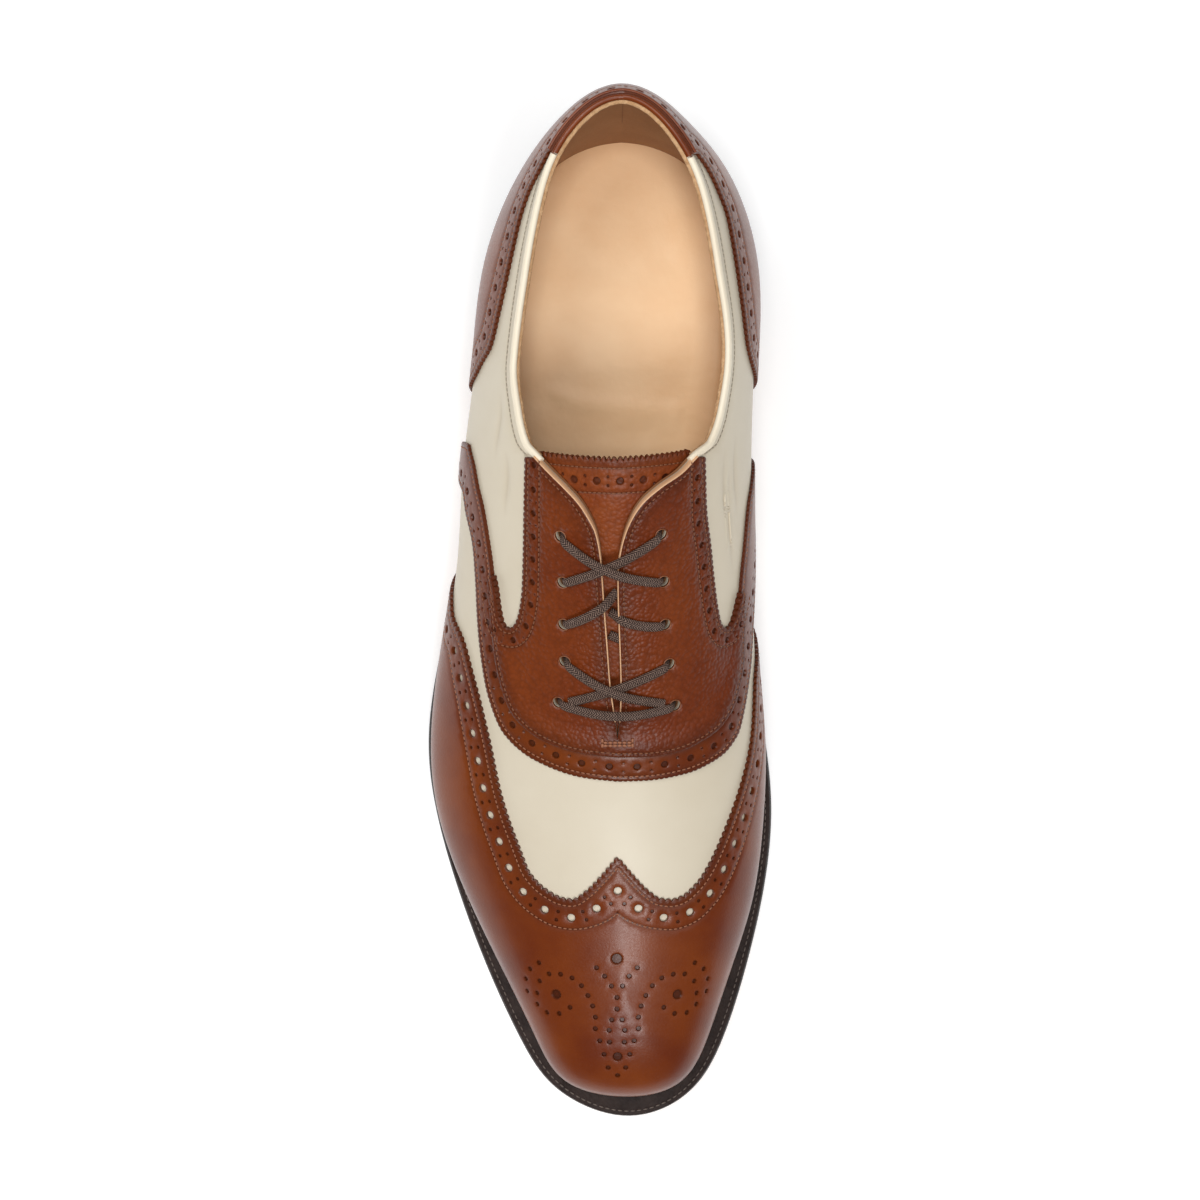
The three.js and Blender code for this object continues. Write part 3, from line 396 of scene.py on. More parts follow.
        def miss(place: np.ndarray) -> np.ndarray:
            """How far each flat point lies beside its ray.

            Args:
                place: Loop places of the rays.

            Returns:
                The cross product of the way to the point and the ray.
            """
            origin, away = self.ray(place)
            rest = flat - origin
            return rest[:, 0] * away[:, 1] - rest[:, 1] * away[:, 0]

        for step in range(14):
            value = miss(c)
            rate = (miss(c + 0.005) - miss(c - 0.005)) / 0.01
            rate = np.where(np.abs(rate) < 1e-6, 1e-6, rate)
            c = c - np.clip(value / rate, -0.2, 0.2)
            if step == 7:
                origin, away = self.ray(c)
                behind = ((flat - origin) * away).sum(axis=1) < -0.02
                c = np.where(behind, LOOP - c, c)
        origin, away = self.ray(c)
        reach = np.maximum(((flat - origin) * away).sum(axis=1), 0)
        table = self.girth(c)
        low = np.clip((table >= reach[:, None]).sum(axis=1) - 1, 0, len(self.heights) - 2)
        line = np.arange(len(c))
        high_girth, low_girth = table[line, low], table[line, low + 1]
        t = np.clip((high_girth - reach) / np.maximum(high_girth - low_girth, 1e-9), 0, 1)
        return c, (low + t) / (len(self.heights) - 1)

    def stretch(self, flat: np.ndarray) -> tuple[np.ndarray, np.ndarray]:
        """How spreading flat stretches the leather, as the root of its metric and the inverse."""
        c, v = self.locate(flat)
        v = np.clip(v, 0.004, 0.996)
        along, up = self.slope(c, v)
        flat_along = (self.flat(c + 0.01, v) - self.flat(c - 0.01, v)) / 0.02
        flat_up = (self.flat(c, v + 0.003) - self.flat(c, v - 0.003)) / 0.006
        spread = np.linalg.inv(np.stack([flat_along, flat_up], axis=-1))
        real = np.stack([along, up], axis=-1) @ spread
        metric = np.swapaxes(real, 1, 2) @ real
        root_det = np.sqrt(np.maximum(np.linalg.det(metric), 1e-9))
        trace = metric[:, 0, 0] + metric[:, 1, 1]
        root = metric + root_det[:, None, None] * np.eye(2)
        root /= np.sqrt(trace + 2 * root_det)[:, None, None]
        return root, np.linalg.inv(root)

    def lay(self, flat: np.ndarray, lift: np.ndarray | float) -> np.ndarray:
        """Flat points laid back on the last at a lift, in millimetres."""
        c, v = self.locate(flat)
        return self.skin(c, v, lift)


@dataclass(frozen=True)
class Punch:
    """A round mark in leather: a hole right through, or a pit that a depth is given for."""

    centre: tuple[float, float]
    radius: float
    depth: float


@dataclass
class Pattern:
    """Draws lines, edges and punch marks on the upper spread flat, at their real sizes."""

    last: Last

    def line(self, c: np.ndarray, v: np.ndarray) -> np.ndarray:
        """A flat line through places."""
        return self.last.flat(c, v)

    def measure(self, line: np.ndarray) -> np.ndarray:
        """Real distance along a flat line, at each of its points."""
        points = self.last.lay(line, 0.0)
        steps = np.linalg.norm(np.diff(points, axis=0), axis=1)
        return np.concatenate([[0], np.cumsum(steps)])

    def paced(self, line: np.ndarray, pace: float, margin: float = 0.0) -> np.ndarray:
        """Points of a line at even real distances.

        Args:
            line: A flat line.
            pace: Distance between points, fitted to the line's length.
            margin: Length left free at each end.

        Returns:
            The points.
        """
        length = self.measure(line)
        count = max(int(round((length[-1] - 2 * margin) / pace)), 1)
        at = np.linspace(margin, length[-1] - margin, count + 1)
        return np.stack([np.interp(at, length, line[:, i]) for i in (0, 1)], axis=1)

    def inward(self, line: np.ndarray) -> np.ndarray:
        """Flat steps, one real millimetre long, to the left of a line."""
        along = np.gradient(line, axis=0)
        root, back = self.last.stretch(line)
        straight = unit(np.einsum("nij,nj->ni", root, along))
        left = np.stack([-straight[:, 1], straight[:, 0]], axis=1)
        return np.einsum("nij,nj->ni", back, left)

    def offset(self, line: np.ndarray, distance: float, pace: float = 0.6) -> np.ndarray:
        """A line at a real distance to the left of another, with its corners kept clean.

        Args:
            line: A flat line.
            distance: How far to the left, or to the right where it is negative.
            pace: Distance between the new line's points.

        Returns:
            The new line.
        """
        fine = self.paced(line, pace)
        moved = fine + self.inward(fine) * distance
        tree = kdtree.KDTree(len(fine))
        for i, point in enumerate(self.last.lay(fine, 0.0)):
            tree.insert(point, i)
        tree.balance()
        gaps = np.array([tree.find(point)[2] for point in self.last.lay(moved, 0.0)])
        return self.paced(moved[gaps > 0.93 * abs(distance)], pace)

    def gimped(self, line: np.ndarray, pitch: float, depth: float, bites: int = 8) -> np.ndarray:
        """An edge cut in small round scallops that stand out to the right of a line."""
        scallops = max(int(round(self.measure(line)[-1] / pitch)), 1)
        fine = self.paced(line, self.measure(line)[-1] / (scallops * bites))
        phase = np.pi * np.arange(len(fine)) / bites
        out = depth * np.abs(np.sin(phase)) ** 0.7
        return fine - self.inward(fine) * out[:, None]

    def rings(self, centres: np.ndarray, sides: int) -> np.ndarray:
        """Steps from each centre to the corners of a ring of radius 1 that is round on the shoe."""
        _, back = self.last.stretch(np.asarray(centres))
        turn = np.linspace(0, 2 * np.pi, sides, endpoint=False)
        ring = np.stack([np.cos(turn), np.sin(turn)], axis=1)
        return np.einsum("sj,nij->nsi", ring, back)

    def punched_row(self, line: np.ndarray, spacing: float, large: float, small: float,
                    through: bool = False, spread: float = 1.35,
                    margin: float | None = None) -> list[Punch]:
        """Large round marks along a line, with a pair of small ones across between them.

        Args:
            line: The flat line that the marks follow.
            spacing: Distance between large marks.
            large: Their radius.
            small: Radius of the small ones.
            through: Whether the large ones go right through.
            spread: How far a small one lies from the line.
            margin: Length left free at each end, a quarter of the spacing where it isn't given.

        Returns:
            The marks.
        """
        halves = self.paced(line, spacing / 2, spacing / 4 if margin is None else margin)
        if len(halves) % 2 == 0:
            halves = halves[:-1]
        across = self.inward(halves) * spread
        marks = [Punch(tuple(point), large, 0.0 if through else 0.62) for point in halves[::2]]
        for point, step in zip(halves[1::2], across[1::2]):
            marks += [Punch(tuple(point + step * sign), small, 0.5) for sign in (-1, 1)]
        return marks


def inside(points: np.ndarray, loops: Sequence[np.ndarray]) -> np.ndarray:
    """Whether flat points lie inside a shape with holes.

    Args:
        points: The points.
        loops: Closed outlines, in any direction.

    Returns:
        One truth value for each point.
    """
    start = np.concatenate(loops)
    end = np.concatenate([np.roll(loop, -1, axis=0) for loop in loops])
    slope = (end[:, 0] - start[:, 0]) / np.where(end[:, 1] == start[:, 1], 1, end[:, 1] - start[:, 1])
    result = np.empty(len(points), bool)
    for first in range(0, len(points), 1500):
        x, y = points[first:first + 1500, :1], points[first:first + 1500, 1:]
        crosses = (start[:, 1] > y) != (end[:, 1] > y)
        left = x < start[:, 0] + (y - start[:, 1]) * slope
        result[first:first + 1500] = (crosses & left).sum(axis=1) % 2 == 1
    return result


def nearest(points: np.ndarray, targets: np.ndarray) -> np.ndarray:
    """Distance from each flat point to the nearest target."""
    tree = kdtree.KDTree(len(targets))
    for i, target in enumerate(targets):
        tree.insert((target[0], target[1], 0), i)
    tree.balance()
    return np.array([tree.find((x, y, 0))[2] for x, y in points])


def mesh_object(name: str, points: np.ndarray, faces: list, smooth: float = 40.0) -> bpy.types.Object:
    """An object from points in millimetres.

    Args:
        name: Its name.
        points: Its vertices.
        faces: Vertex numbers of each face.
        smooth: Angle in degrees up to which it is shaded smooth.

    Returns:
        The object, in the scene.
    """
    mesh = bpy.data.meshes.new(name)
    mesh.from_pydata((np.asarray(points) * MM).tolist(), [], faces)
    mesh.validate()
    obj = bpy.data.objects.new(name, mesh)
    bpy.context.scene.collection.objects.link(obj)
    bpy.ops.object.select_all(action="DESELECT")
    obj.select_set(True)
    bpy.context.view_layer.objects.active = obj
    bpy.ops.object.shade_smooth_by_angle(angle=math.radians(smooth))
    return obj


def paint(obj: bpy.types.Object, name: str, values: np.ndarray) -> None:
    """Stores a number for each vertex, for the finish to read."""
    layer = obj.data.attributes.new(name, "FLOAT", "POINT")
    layer.data.foreach_set("value", np.asarray(values, dtype=np.float32))


@dataclass
class Panel:
    """One piece of leather, cut flat, punched, and laid on the last."""

    pattern: Pattern
    outline: np.ndarray
    top: float = 1.25
    bottom: float | Callable[[np.ndarray, np.ndarray], np.ndarray] = 0.15
    spacing: float = 1.6
    roll: float = 0.22
    punches: list[Punch] = field(default_factory=list)
    seams: list[np.ndarray] = field(default_factory=list)
    cutouts: list[np.ndarray] = field(default_factory=list)
    raised: Callable[[np.ndarray], np.ndarray] | None = None
    rims: bool = True
    folds: list[np.ndarray] = field(default_factory=list)

    def rings(self) -> tuple[list[np.ndarray], list[tuple[np.ndarray, float, float]]]:
        """Cut lines of the holes, and loose points as places, sinking and painted shade."""
        cuts, loose = list(self.cutouts), []
        for cut in self.cutouts:
            loose += [(self.beside(cut, step), 0.03, 0.0) for step in (-0.45, 0.45)]
        centres = np.array([punch.centre for punch in self.punches]).reshape(-1, 2)
        wide = self.pattern.rings(centres, 14) if self.punches else []
        fine = self.pattern.rings(centres, 9) if self.punches else []
        for i, punch in enumerate(self.punches):
            ring, centre = (wide if punch.radius > 0.9 else fine)[i], centres[i]
            rim = -0.05 if punch.radius > 0.9 and self.rims else 0.0
            loose.append((centre + ring * (punch.radius + 0.35), rim, 0.0))
            if punch.depth == 0:
                cuts.append(centre + ring * punch.radius)
                continue
            # Painted shade: the pit's rim and floor are darkened where shade falls in it.
            loose.append((centre + ring * punch.radius, 0.06, 0.3))
            loose.append((centre + ring * punch.radius * 0.74, punch.depth, 1.0))
            loose.append((centre[None], punch.depth, 0.8))
        for fold in self.folds:
            fine = self.pattern.paced(fold, 1.0)
            fade = np.sin(np.linspace(0, np.pi, len(fine)))
            # Painted shade along the bottom of the crease, fading towards its ends.
            for step, depth, painted_shade in ((0.0, 0.34, 0.4), (-0.9, 0.1, 0.12), (0.9, 0.1, 0.12),
                                      (-2.0, -0.12, 0.0), (2.0, -0.12, 0.0)):
                loose.append((self.beside(fine, step), depth * fade, painted_shade * fade))
        for seam in self.seams:
            # Painted shade along the groove that the stitches sink into.
            loose.append((self.pattern.paced(seam, 0.8), 0.2, 1.0))
            for step in (-0.5, 0.5):
                loose.append((self.beside(self.pattern.paced(seam, 1.0), step), 0.02, 0.15))
        return cuts, loose

    def beside(self, line: np.ndarray, distance: float) -> np.ndarray:
        """Points beside a line, to its left."""
        return line + self.pattern.inward(line) * distance

    def build(self, name: str, finish: bpy.types.Material) -> bpy.types.Object:
        """Cuts and lays the panel.

        Args:
            name: The piece's name.
            finish: Its material.

        Returns:
            The piece, closed, with the attributes edge, its distance to the outline, and shade, the
            painted shade of pits, grooves, creases and cut edges.
        """
        last = self.pattern.last
        area = np.sum(self.outline[:, 0] * np.roll(self.outline[:, 1], -1)
                      - self.outline[:, 1] * np.roll(self.outline[:, 0], -1))
        outline = self.outline if area > 0 else self.outline[::-1]
        cuts, loose = self.rings()
        loops = [outline, *cuts]
        fixed = np.concatenate(loops)
        sink = [np.full(len(fixed), self.roll)]
        # Painted shade, partly dyed edge: cut edges start half darkened, and the ring just inside
        # them a little.
        shade = [np.full(len(fixed), 0.5)]
        places = [fixed]
        loose.insert(0, (self.beside(outline, 0.4), 0.03, 0.1))
        for points, depth, painted_shade in loose:
            keep = inside(points, loops)
            keep &= nearest(points, np.concatenate(places)) > 0.13
            places.append(points[keep])
            sink.append(np.broadcast_to(depth, len(points))[keep])
            shade.append(np.broadcast_to(painted_shade, len(points))[keep])
        low, high = outline.min(axis=0), outline.max(axis=0)
        rows = np.arange(low[1], high[1], self.spacing * 0.866)
        columns = np.arange(low[0], high[0], self.spacing)
        grid = np.array([(x + (i % 2) * self.spacing / 2, y)
                         for i, y in enumerate(rows) for x in columns])
        keep = inside(grid, loops)
        grid = grid[keep]
        grid = grid[nearest(grid, np.concatenate(places)) > 0.62 * self.spacing]
        places.append(grid)
        sink.append(np.zeros(len(grid)))
        shade.append(np.zeros(len(grid)))
        flat, sink, shade = np.concatenate(places), np.concatenate(sink), np.concatenate(shade)
        edges, first = [], 0
        for loop in loops:
            count = len(loop)
            edges += [(first + i, first + (i + 1) % count) for i in range(count)]
            first += count
        result = delaunay_2d_cdt([Vector(p) for p in flat.tolist()], edges, [], 0, 1e-6)
        out = np.array([tuple(p) for p in result[0]])
        source = np.array([ids[0] if ids else -1 for ids in result[3]])
        for i in np.nonzero(source < 0)[0]:
            source[i] = int(((flat - out[i]) ** 2).sum(axis=1).argmin())
        triangles = np.array([face for face in result[2] if len(face) == 3])
        corner = out[triangles]
        turned = np.cross(corner[:, 1] - corner[:, 0], corner[:, 2] - corner[:, 0]) < 0
        triangles[turned] = triangles[turned][:, ::-1]
        size = np.abs(np.cross(corner[:, 1] - corner[:, 0], corner[:, 2] - corner[:, 0]))
        triangles = triangles[inside(corner.mean(axis=1), loops) & (size > 1e-7)]
        used = np.unique(triangles)
        number = np.full(len(out), -1)
        number[used] = np.arange(len(used))
        triangles, out, source = number[triangles], out[used], source[used]
        c, v = last.locate(out)
        lift = self.top - sink[source]
        if self.raised is not None:
            lift = lift + self.raised(out)
        base = self.bottom(c, v) if callable(self.bottom) else np.full(len(out), self.bottom)
        count = len(out)
        points = np.concatenate([last.skin(c, v, lift), last.skin(c, v, base)])
        sides = triangles[:, [0, 1, 1, 2, 2, 0]].reshape(-1, 2)
        known = {(int(a), int(b)) for a, b in sides}
        faces = triangles.tolist() + (triangles[:, ::-1] + count).tolist()
        faces += [[b, a, a + count, b + count] for a, b in known if (b, a) not in known]
        obj = mesh_object(name, points, faces)
        # The distance to the outline darkens the edges in the finish: partly dyed edge, partly
        # painted shade along the welt and the cut steps.
        gap = np.minimum(nearest(out, outline), 12)
        paint(obj, "edge", np.concatenate([gap, np.zeros(count)]))
        paint(obj, "shade", np.tile(shade[source], 2))
        obj.data.materials.append(finish)
        log.info("%s: %d faces", name, len(obj.data.polygons))
        return obj


def hex_colour(code: str) -> tuple[float, float, float, float]:
    """A linear colour from an sRGB hex value."""
    parts = [int(code[i:i + 2], 16) / 255 for i in (1, 3, 5)]
    linear = [p / 12.92 if p <= 0.04045 else ((p + 0.055) / 1.055) ** 2.4 for p in parts]
    return (*linear, 1.0)


def add_node(tree: bpy.types.NodeTree, kind: str, settings: dict, links: dict) -> bpy.types.Node:
    """Adds a node.

    Args:
        tree: The node tree.
        kind: The node's type name.
        settings: Properties of the node, or values of its inputs.
        links: Sockets that feed its inputs.

    Returns:
        The node.
    """
    node = tree.nodes.new(kind)
    for name, value in settings.items():
        if isinstance(name, str) and hasattr(node, name):
            setattr(node, name, value)
        else:
            node.inputs[name].default_value = value
    for name, socket in links.items():
        tree.links.new(socket, node.inputs[name])
    return node


@dataclass(frozen=True)
class Leather:
    """Tanned and dyed leather: mottled dye, cut edges darker partly as dyed edge and partly as
    painted shade, painted shade in grooves, pits and creases, pores, and pebble with valleys darker
    partly as grain colour and partly as painted shade.
    """

    name: str
    base: str
    glow: str
    dark: str
    roughness: float = 0.42
    coat: float = 0.2
    coat_roughness: float = 0.25
    mottle: float = 16.0
    edge_reach: float = 4.0
    edge_share: float = 0.45
    shade_share: float = 0.75
    pebble: float = 0.0
    pebble_depth: float = 0.1
    pore: float = 0.45
    pore_depth: float = 0.03
    wrinkle: float = 0.0
    specular: float = 0.5

    def build(self) -> bpy.types.Material:
        """The material, from its own sizes in millimetres."""
        material = bpy.data.materials.new(self.name)
        material.use_nodes = True
        tree = material.node_tree
        shader = tree.nodes["Principled BSDF"]
        place = tree.nodes.new("ShaderNodeTexCoord").outputs["Object"]
        broad = add_node(tree, "ShaderNodeTexNoise",
                         {"Scale": 1 / (self.mottle * MM), "Detail": 4.0, "Roughness": 0.55},
                         {"Vector": place}).outputs["Fac"]
        swing = add_node(tree, "ShaderNodeMapRange",
                         {"From Min": 0.35, "From Max": 0.68}, {"Value": broad}).outputs["Result"]
        dye = add_node(tree, "ShaderNodeMix",
                       {"data_type": "RGBA", 6: hex_colour(self.base), 7: hex_colour(self.glow)},
                       {0: swing}).outputs[2]
        # Darker within edge_reach of the outline: partly dyed cut edge, partly painted shade where
        # the panel meets the welt and at its cut steps.
        edge = add_node(tree, "ShaderNodeAttribute", {"attribute_name": "edge"}, {}).outputs["Fac"]
        near = add_node(tree, "ShaderNodeMapRange",
                        {"From Min": 0.0, "From Max": self.edge_reach,
                         "To Min": self.edge_share, "To Max": 0.0}, {"Value": edge}).outputs[0]
        # Painted shade: the shade attribute darkens pit floors, seam grooves, creases and cut edges
        # towards the dark colour.
        shade = add_node(tree, "ShaderNodeAttribute",
                         {"attribute_name": "shade"}, {}).outputs["Fac"]
        sunk = add_node(tree, "ShaderNodeMath",
                        {"operation": "MULTIPLY", 1: self.shade_share}, {0: shade}).outputs[0]
        both = add_node(tree, "ShaderNodeMath",
                        {"operation": "MAXIMUM"}, {0: near, 1: sunk}).outputs[0]
        colour = add_node(tree, "ShaderNodeMix", {"data_type": "RGBA", 7: hex_colour(self.dark)},
                          {0: both, 6: dye}).outputs[2]
        pores = add_node(tree, "ShaderNodeTexNoise",
                         {"Scale": 1 / (self.pore * MM), "Detail": 3.0, "Roughness": 0.6},
                         {"Vector": place}).outputs["Fac"]
        bump = add_node(tree, "ShaderNodeBump",
                        {"Strength": 1.0, "Distance": self.pore_depth * MM}, {"Height": pores})
        if self.pebble > 0:
            bend = add_node(tree, "ShaderNodeTexNoise",
                            {"Scale": 1 / (3 * self.pebble * MM), "Detail": 2.0},
                            {"Vector": place}).outputs["Color"]
            drift = add_node(tree, "ShaderNodeVectorMath",
                             {"operation": "SCALE", "Scale": self.pebble * MM},
                             {0: bend}).outputs["Vector"]
            moved = add_node(tree, "ShaderNodeVectorMath", {"operation": "ADD"},
                             {0: place, 1: drift}).outputs["Vector"]
            cells = add_node(tree, "ShaderNodeTexVoronoi",
                             {"feature": "SMOOTH_F1", "Scale": 1 / (self.pebble * MM),
                              "Smoothness": 0.25}, {"Vector": moved}).outputs["Distance"]
            dome = add_node(tree, "ShaderNodeMath", {"operation": "MULTIPLY", 1: -1.0},
                            {0: cells}).outputs[0]
            bump = add_node(tree, "ShaderNodeBump",
                            {"Strength": 1.0, "Distance": self.pebble_depth * MM},
                            {"Height": dome, "Normal": bump.outputs["Normal"]})
            # Darker in the pebble's valleys: partly grain colour, partly painted shade.
            valley_grain_and_shade = add_node(tree, "ShaderNodeMapRange",
                             {"From Min": 0.35, "From Max": 0.8, "To Min": 0.0, "To Max": 0.2},
                             {"Value": cells}).outputs[0]
            colour = add_node(tree, "ShaderNodeMix",
                              {"data_type": "RGBA", 7: hex_colour(self.dark)},
                              {0: valley_grain_and_shade, 6: colour}).outputs[2]
        if self.wrinkle > 0:
            folds = add_node(tree, "ShaderNodeTexNoise", {"Scale": 90.0, "Detail": 3.0},
                             {"Vector": place}).outputs["Fac"]
            bump = add_node(tree, "ShaderNodeBump",
                            {"Strength": 1.0, "Distance": self.wrinkle * MM},
                            {"Height": folds, "Normal": bump.outputs["Normal"]})
        uneven = add_node(tree, "ShaderNodeMapRange",
                          {"From Min": 0.3, "From Max": 0.7, "To Min": self.roughness - 0.05,
                           "To Max": self.roughness + 0.07}, {"Value": pores}).outputs[0]
        tree.links.new(colour, shader.inputs["Base Color"])
        tree.links.new(uneven, shader.inputs["Roughness"])
        tree.links.new(bump.outputs["Normal"], shader.inputs["Normal"])
        shader.inputs["Coat Weight"].default_value = self.coat
        shader.inputs["Coat Roughness"].default_value = self.coat_roughness
        shader.inputs["Specular IOR Level"].default_value = self.specular
        return material


@dataclass(frozen=True)
class Thread:
    """Waxed thread: one dye with a fine twist, low gloss."""

    name: str
    base: str
    light: str
    twist: float = 0.35
    roughness: float = 0.6

    def build(self) -> bpy.types.Material:
        """The material, with a twist drawn as bands across fine noise."""
        material = bpy.data.materials.new(self.name)
        material.use_nodes = True
        tree = material.node_tree
        shader = tree.nodes["Principled BSDF"]
        place = tree.nodes.new("ShaderNodeTexCoord").outputs["Object"]
        fibre = add_node(tree, "ShaderNodeTexNoise",
                         {"Scale": 1 / (self.twist * MM), "Detail": 2.0},
                         {"Vector": place}).outputs["Fac"]
        colour = add_node(tree, "ShaderNodeMix",
                          {"data_type": "RGBA", 6: hex_colour(self.base),
                           7: hex_colour(self.light)}, {0: fibre}).outputs[2]
        bump = add_node(tree, "ShaderNodeBump", {"Distance": 0.05 * MM}, {"Height": fibre})
        tree.links.new(colour, shader.inputs["Base Color"])
        tree.links.new(bump.outputs["Normal"], shader.inputs["Normal"])
        shader.inputs["Roughness"].default_value = self.roughness
        return material


@dataclass(frozen=True)
class BraidedCotton:
    """Flat braided, waxed cotton: small slanting strands in a herringbone, dull with soft gloss,
    lighter on the strands' crests and darker between them, partly fibre colour and partly painted
    highlight and shade.
    """

    name: str
    base: str
    light: str
    strand: float = 0.75

    def build(self) -> bpy.types.Material:
        """The material. Its UV map runs in millimetres along and round the lace."""
        material = bpy.data.materials.new(self.name)
        material.use_nodes = True
        tree = material.node_tree
        shader = tree.nodes["Principled BSDF"]
        place = tree.nodes.new("ShaderNodeTexCoord")
        split = add_node(tree, "ShaderNodeSeparateXYZ", {}, {0: place.outputs["UV"]})
        round_way = add_node(tree, "ShaderNodeMath", {"operation": "PINGPONG", 1: 1.1},
                             {0: split.outputs["Y"]}).outputs[0]
        slant = add_node(tree, "ShaderNodeMath", {"operation": "ADD"},
                         {0: split.outputs["X"], 1: round_way}).outputs[0]
        turns = add_node(tree, "ShaderNodeMath",
                         {"operation": "MULTIPLY", 1: 2 * math.pi / self.strand},
                         {0: slant}).outputs[0]
        wave = add_node(tree, "ShaderNodeMath", {"operation": "SINE"}, {0: turns}).outputs[0]
        ridge = add_node(tree, "ShaderNodeMapRange", {"From Min": -1.0, "From Max": 1.0},
                         {"Value": wave}).outputs[0]
        fluff = add_node(tree, "ShaderNodeTexNoise", {"Scale": 1 / (0.3 * MM), "Detail": 3.0},
                         {"Vector": place.outputs["Object"]}).outputs["Fac"]
        mixed = add_node(tree, "ShaderNodeMath", {"operation": "MULTIPLY"},
                         {0: ridge, 1: fluff}).outputs[0]
        # Colour follows the strands' height: crests lighter, gaps darker, partly fibre colour and
        # partly painted highlight and shade.
        strand_colour_and_painted_light = add_node(tree, "ShaderNodeMapRange", {"From Min": 0.22, "From Max": 0.62},
                           {"Value": mixed}).outputs[0]
        colour = add_node(tree, "ShaderNodeMix",
                          {"data_type": "RGBA", 6: hex_colour(self.base),
                           7: hex_colour(self.light)}, {0: strand_colour_and_painted_light}).outputs[2]
        bump = add_node(tree, "ShaderNodeBump", {"Distance": 0.16 * MM}, {"Height": ridge})
        rough = add_node(tree, "ShaderNodeBump", {"Distance": 0.05 * MM},
                         {"Height": fluff, "Normal": bump.outputs["Normal"]})
        tree.links.new(colour, shader.inputs["Base Color"])
        tree.links.new(rough.outputs["Normal"], shader.inputs["Normal"])
        shader.inputs["Roughness"].default_value = 0.6
        shader.inputs["Specular IOR Level"].default_value = 0.25
        return material


@dataclass(frozen=True)
class StackedEdge:
    """Sole leather on its cut edge: thin compressed layers under a dark dressing, half polished."""

    name: str
    base: str
    light: str
    layer: float = 0.7
    roughness: float = 0.4

    def build(self) -> bpy.types.Material:
        """The material, with its layers lying level."""
        material = bpy.data.materials.new(self.name)
        material.use_nodes = True
        tree = material.node_tree
        shader = tree.nodes["Principled BSDF"]
        place = tree.nodes.new("ShaderNodeTexCoord").outputs["Object"]
        flat = add_node(tree, "ShaderNodeMapping", {"Scale": (0.04, 0.04, 1.0)},
                        {"Vector": place}).outputs["Vector"]
        layers = add_node(tree, "ShaderNodeTexNoise",
                          {"Scale": 1 / (self.layer * MM), "Detail": 3.0},
                          {"Vector": flat}).outputs["Fac"]
        grain = add_node(tree, "ShaderNodeTexNoise", {"Scale": 1 / (0.5 * MM), "Detail": 2.0},
                         {"Vector": place}).outputs["Fac"]
        both = add_node(tree, "ShaderNodeMath", {"operation": "MULTIPLY"},
                        {0: layers, 1: grain}).outputs[0]
        share = add_node(tree, "ShaderNodeMapRange", {"From Min": 0.15, "From Max": 0.45},
                         {"Value": both}).outputs[0]
        colour = add_node(tree, "ShaderNodeMix",
                          {"data_type": "RGBA", 6: hex_colour(self.base),
                           7: hex_colour(self.light)}, {0: share}).outputs[2]
        bump = add_node(tree, "ShaderNodeBump", {"Distance": 0.06 * MM}, {"Height": both})
        tree.links.new(colour, shader.inputs["Base Color"])
        tree.links.new(bump.outputs["Normal"], shader.inputs["Normal"])
        shader.inputs["Roughness"].default_value = self.roughness
        shader.inputs["Coat Weight"].default_value = 0.15
        return material


@dataclass(frozen=True)
class Stitch:
    """One kind of stitching: length of a stitch, the gap to the next, and its thread's width."""

    length: float = 1.15
    gap: float = 0.4
    width: float = 0.46


class Sewing:
    """Lays rows of stitches on the shoe, each a small bead of thread, joined into one mesh."""

    def __init__(self, pattern: Pattern) -> None:
        """Models one stitch, to be copied along every seam."""
        self.pattern = pattern
        bpy.ops.object.select_all(action="DESELECT")
        bpy.ops.mesh.primitive_uv_sphere_add(segments=6, ring_count=4, radius=0.5)
        bead = bpy.context.active_object
        self.bead = np.array([vertex.co[:] for vertex in bead.data.vertices])
        self.faces = [list(face.vertices) for face in bead.data.polygons]
        # The bead's poles lie along the seam, and its ends are blunt.
        self.bead = self.bead[:, [2, 0, 1]]
        self.bead[:, 0] = np.sign(self.bead[:, 0]) * (2 * np.abs(self.bead[:, 0])) ** 0.55 / 2
        bpy.data.objects.remove(bead)

    def on_points(self, centres: np.ndarray, along: np.ndarray, normal: np.ndarray,
                  kind: Stitch) -> tuple[np.ndarray, list]:
        """Copies of the stitch at places in the shoe's own frame."""
        side = unit(np.cross(normal, along))
        up = np.cross(along, side)
        body = (self.bead[None, :, :1] * along[:, None] * kind.length
                + self.bead[None, :, 1:2] * side[:, None] * kind.width
                + self.bead[None, :, 2:] * up[:, None] * kind.width * 0.8)
        points = (centres[:, None] + body).reshape(-1, 3)
        size = len(self.bead)
        faces = [[i + k * size for i in face] for k in range(len(centres)) for face in self.faces]
        return points, faces

    def seams(self, name: str, lines: Sequence[tuple[np.ndarray, float | np.ndarray]], kind: Stitch,
              finish: bpy.types.Material, lifter: Callable | None = None) -> bpy.types.Object:
        """Stitches along flat lines.

        Args:
            name: The piece's name.
            lines: Flat lines, each with the lift that its stitches lie at.
            kind: The stitches.
            finish: The thread.
            lifter: What raises the leather under the seam, where something does.

        Returns:
            The piece.
        """
        all_points, all_faces = [], []
        for line, lift in lines:
            ends = self.pattern.paced(line, kind.length + kind.gap)
            extra = lifter(ends) if lifter is not None else 0.0
            c, v = self.pattern.last.locate(ends)
            laid = self.pattern.last.skin(c, v, lift + extra)
            centres = (laid[1:] + laid[:-1]) / 2
            normal = self.pattern.last.normal(c, v)
            points, faces = self.on_points(
                centres, unit(np.diff(laid, axis=0)), unit(normal[1:] + normal[:-1]), kind)
            start = sum(len(p) for p in all_points)
            all_points.append(points)
            all_faces += [[i + start for i in face] for face in faces]
        obj = mesh_object(name, np.concatenate(all_points), all_faces, 80)
        obj.data.materials.append(finish)
        return obj


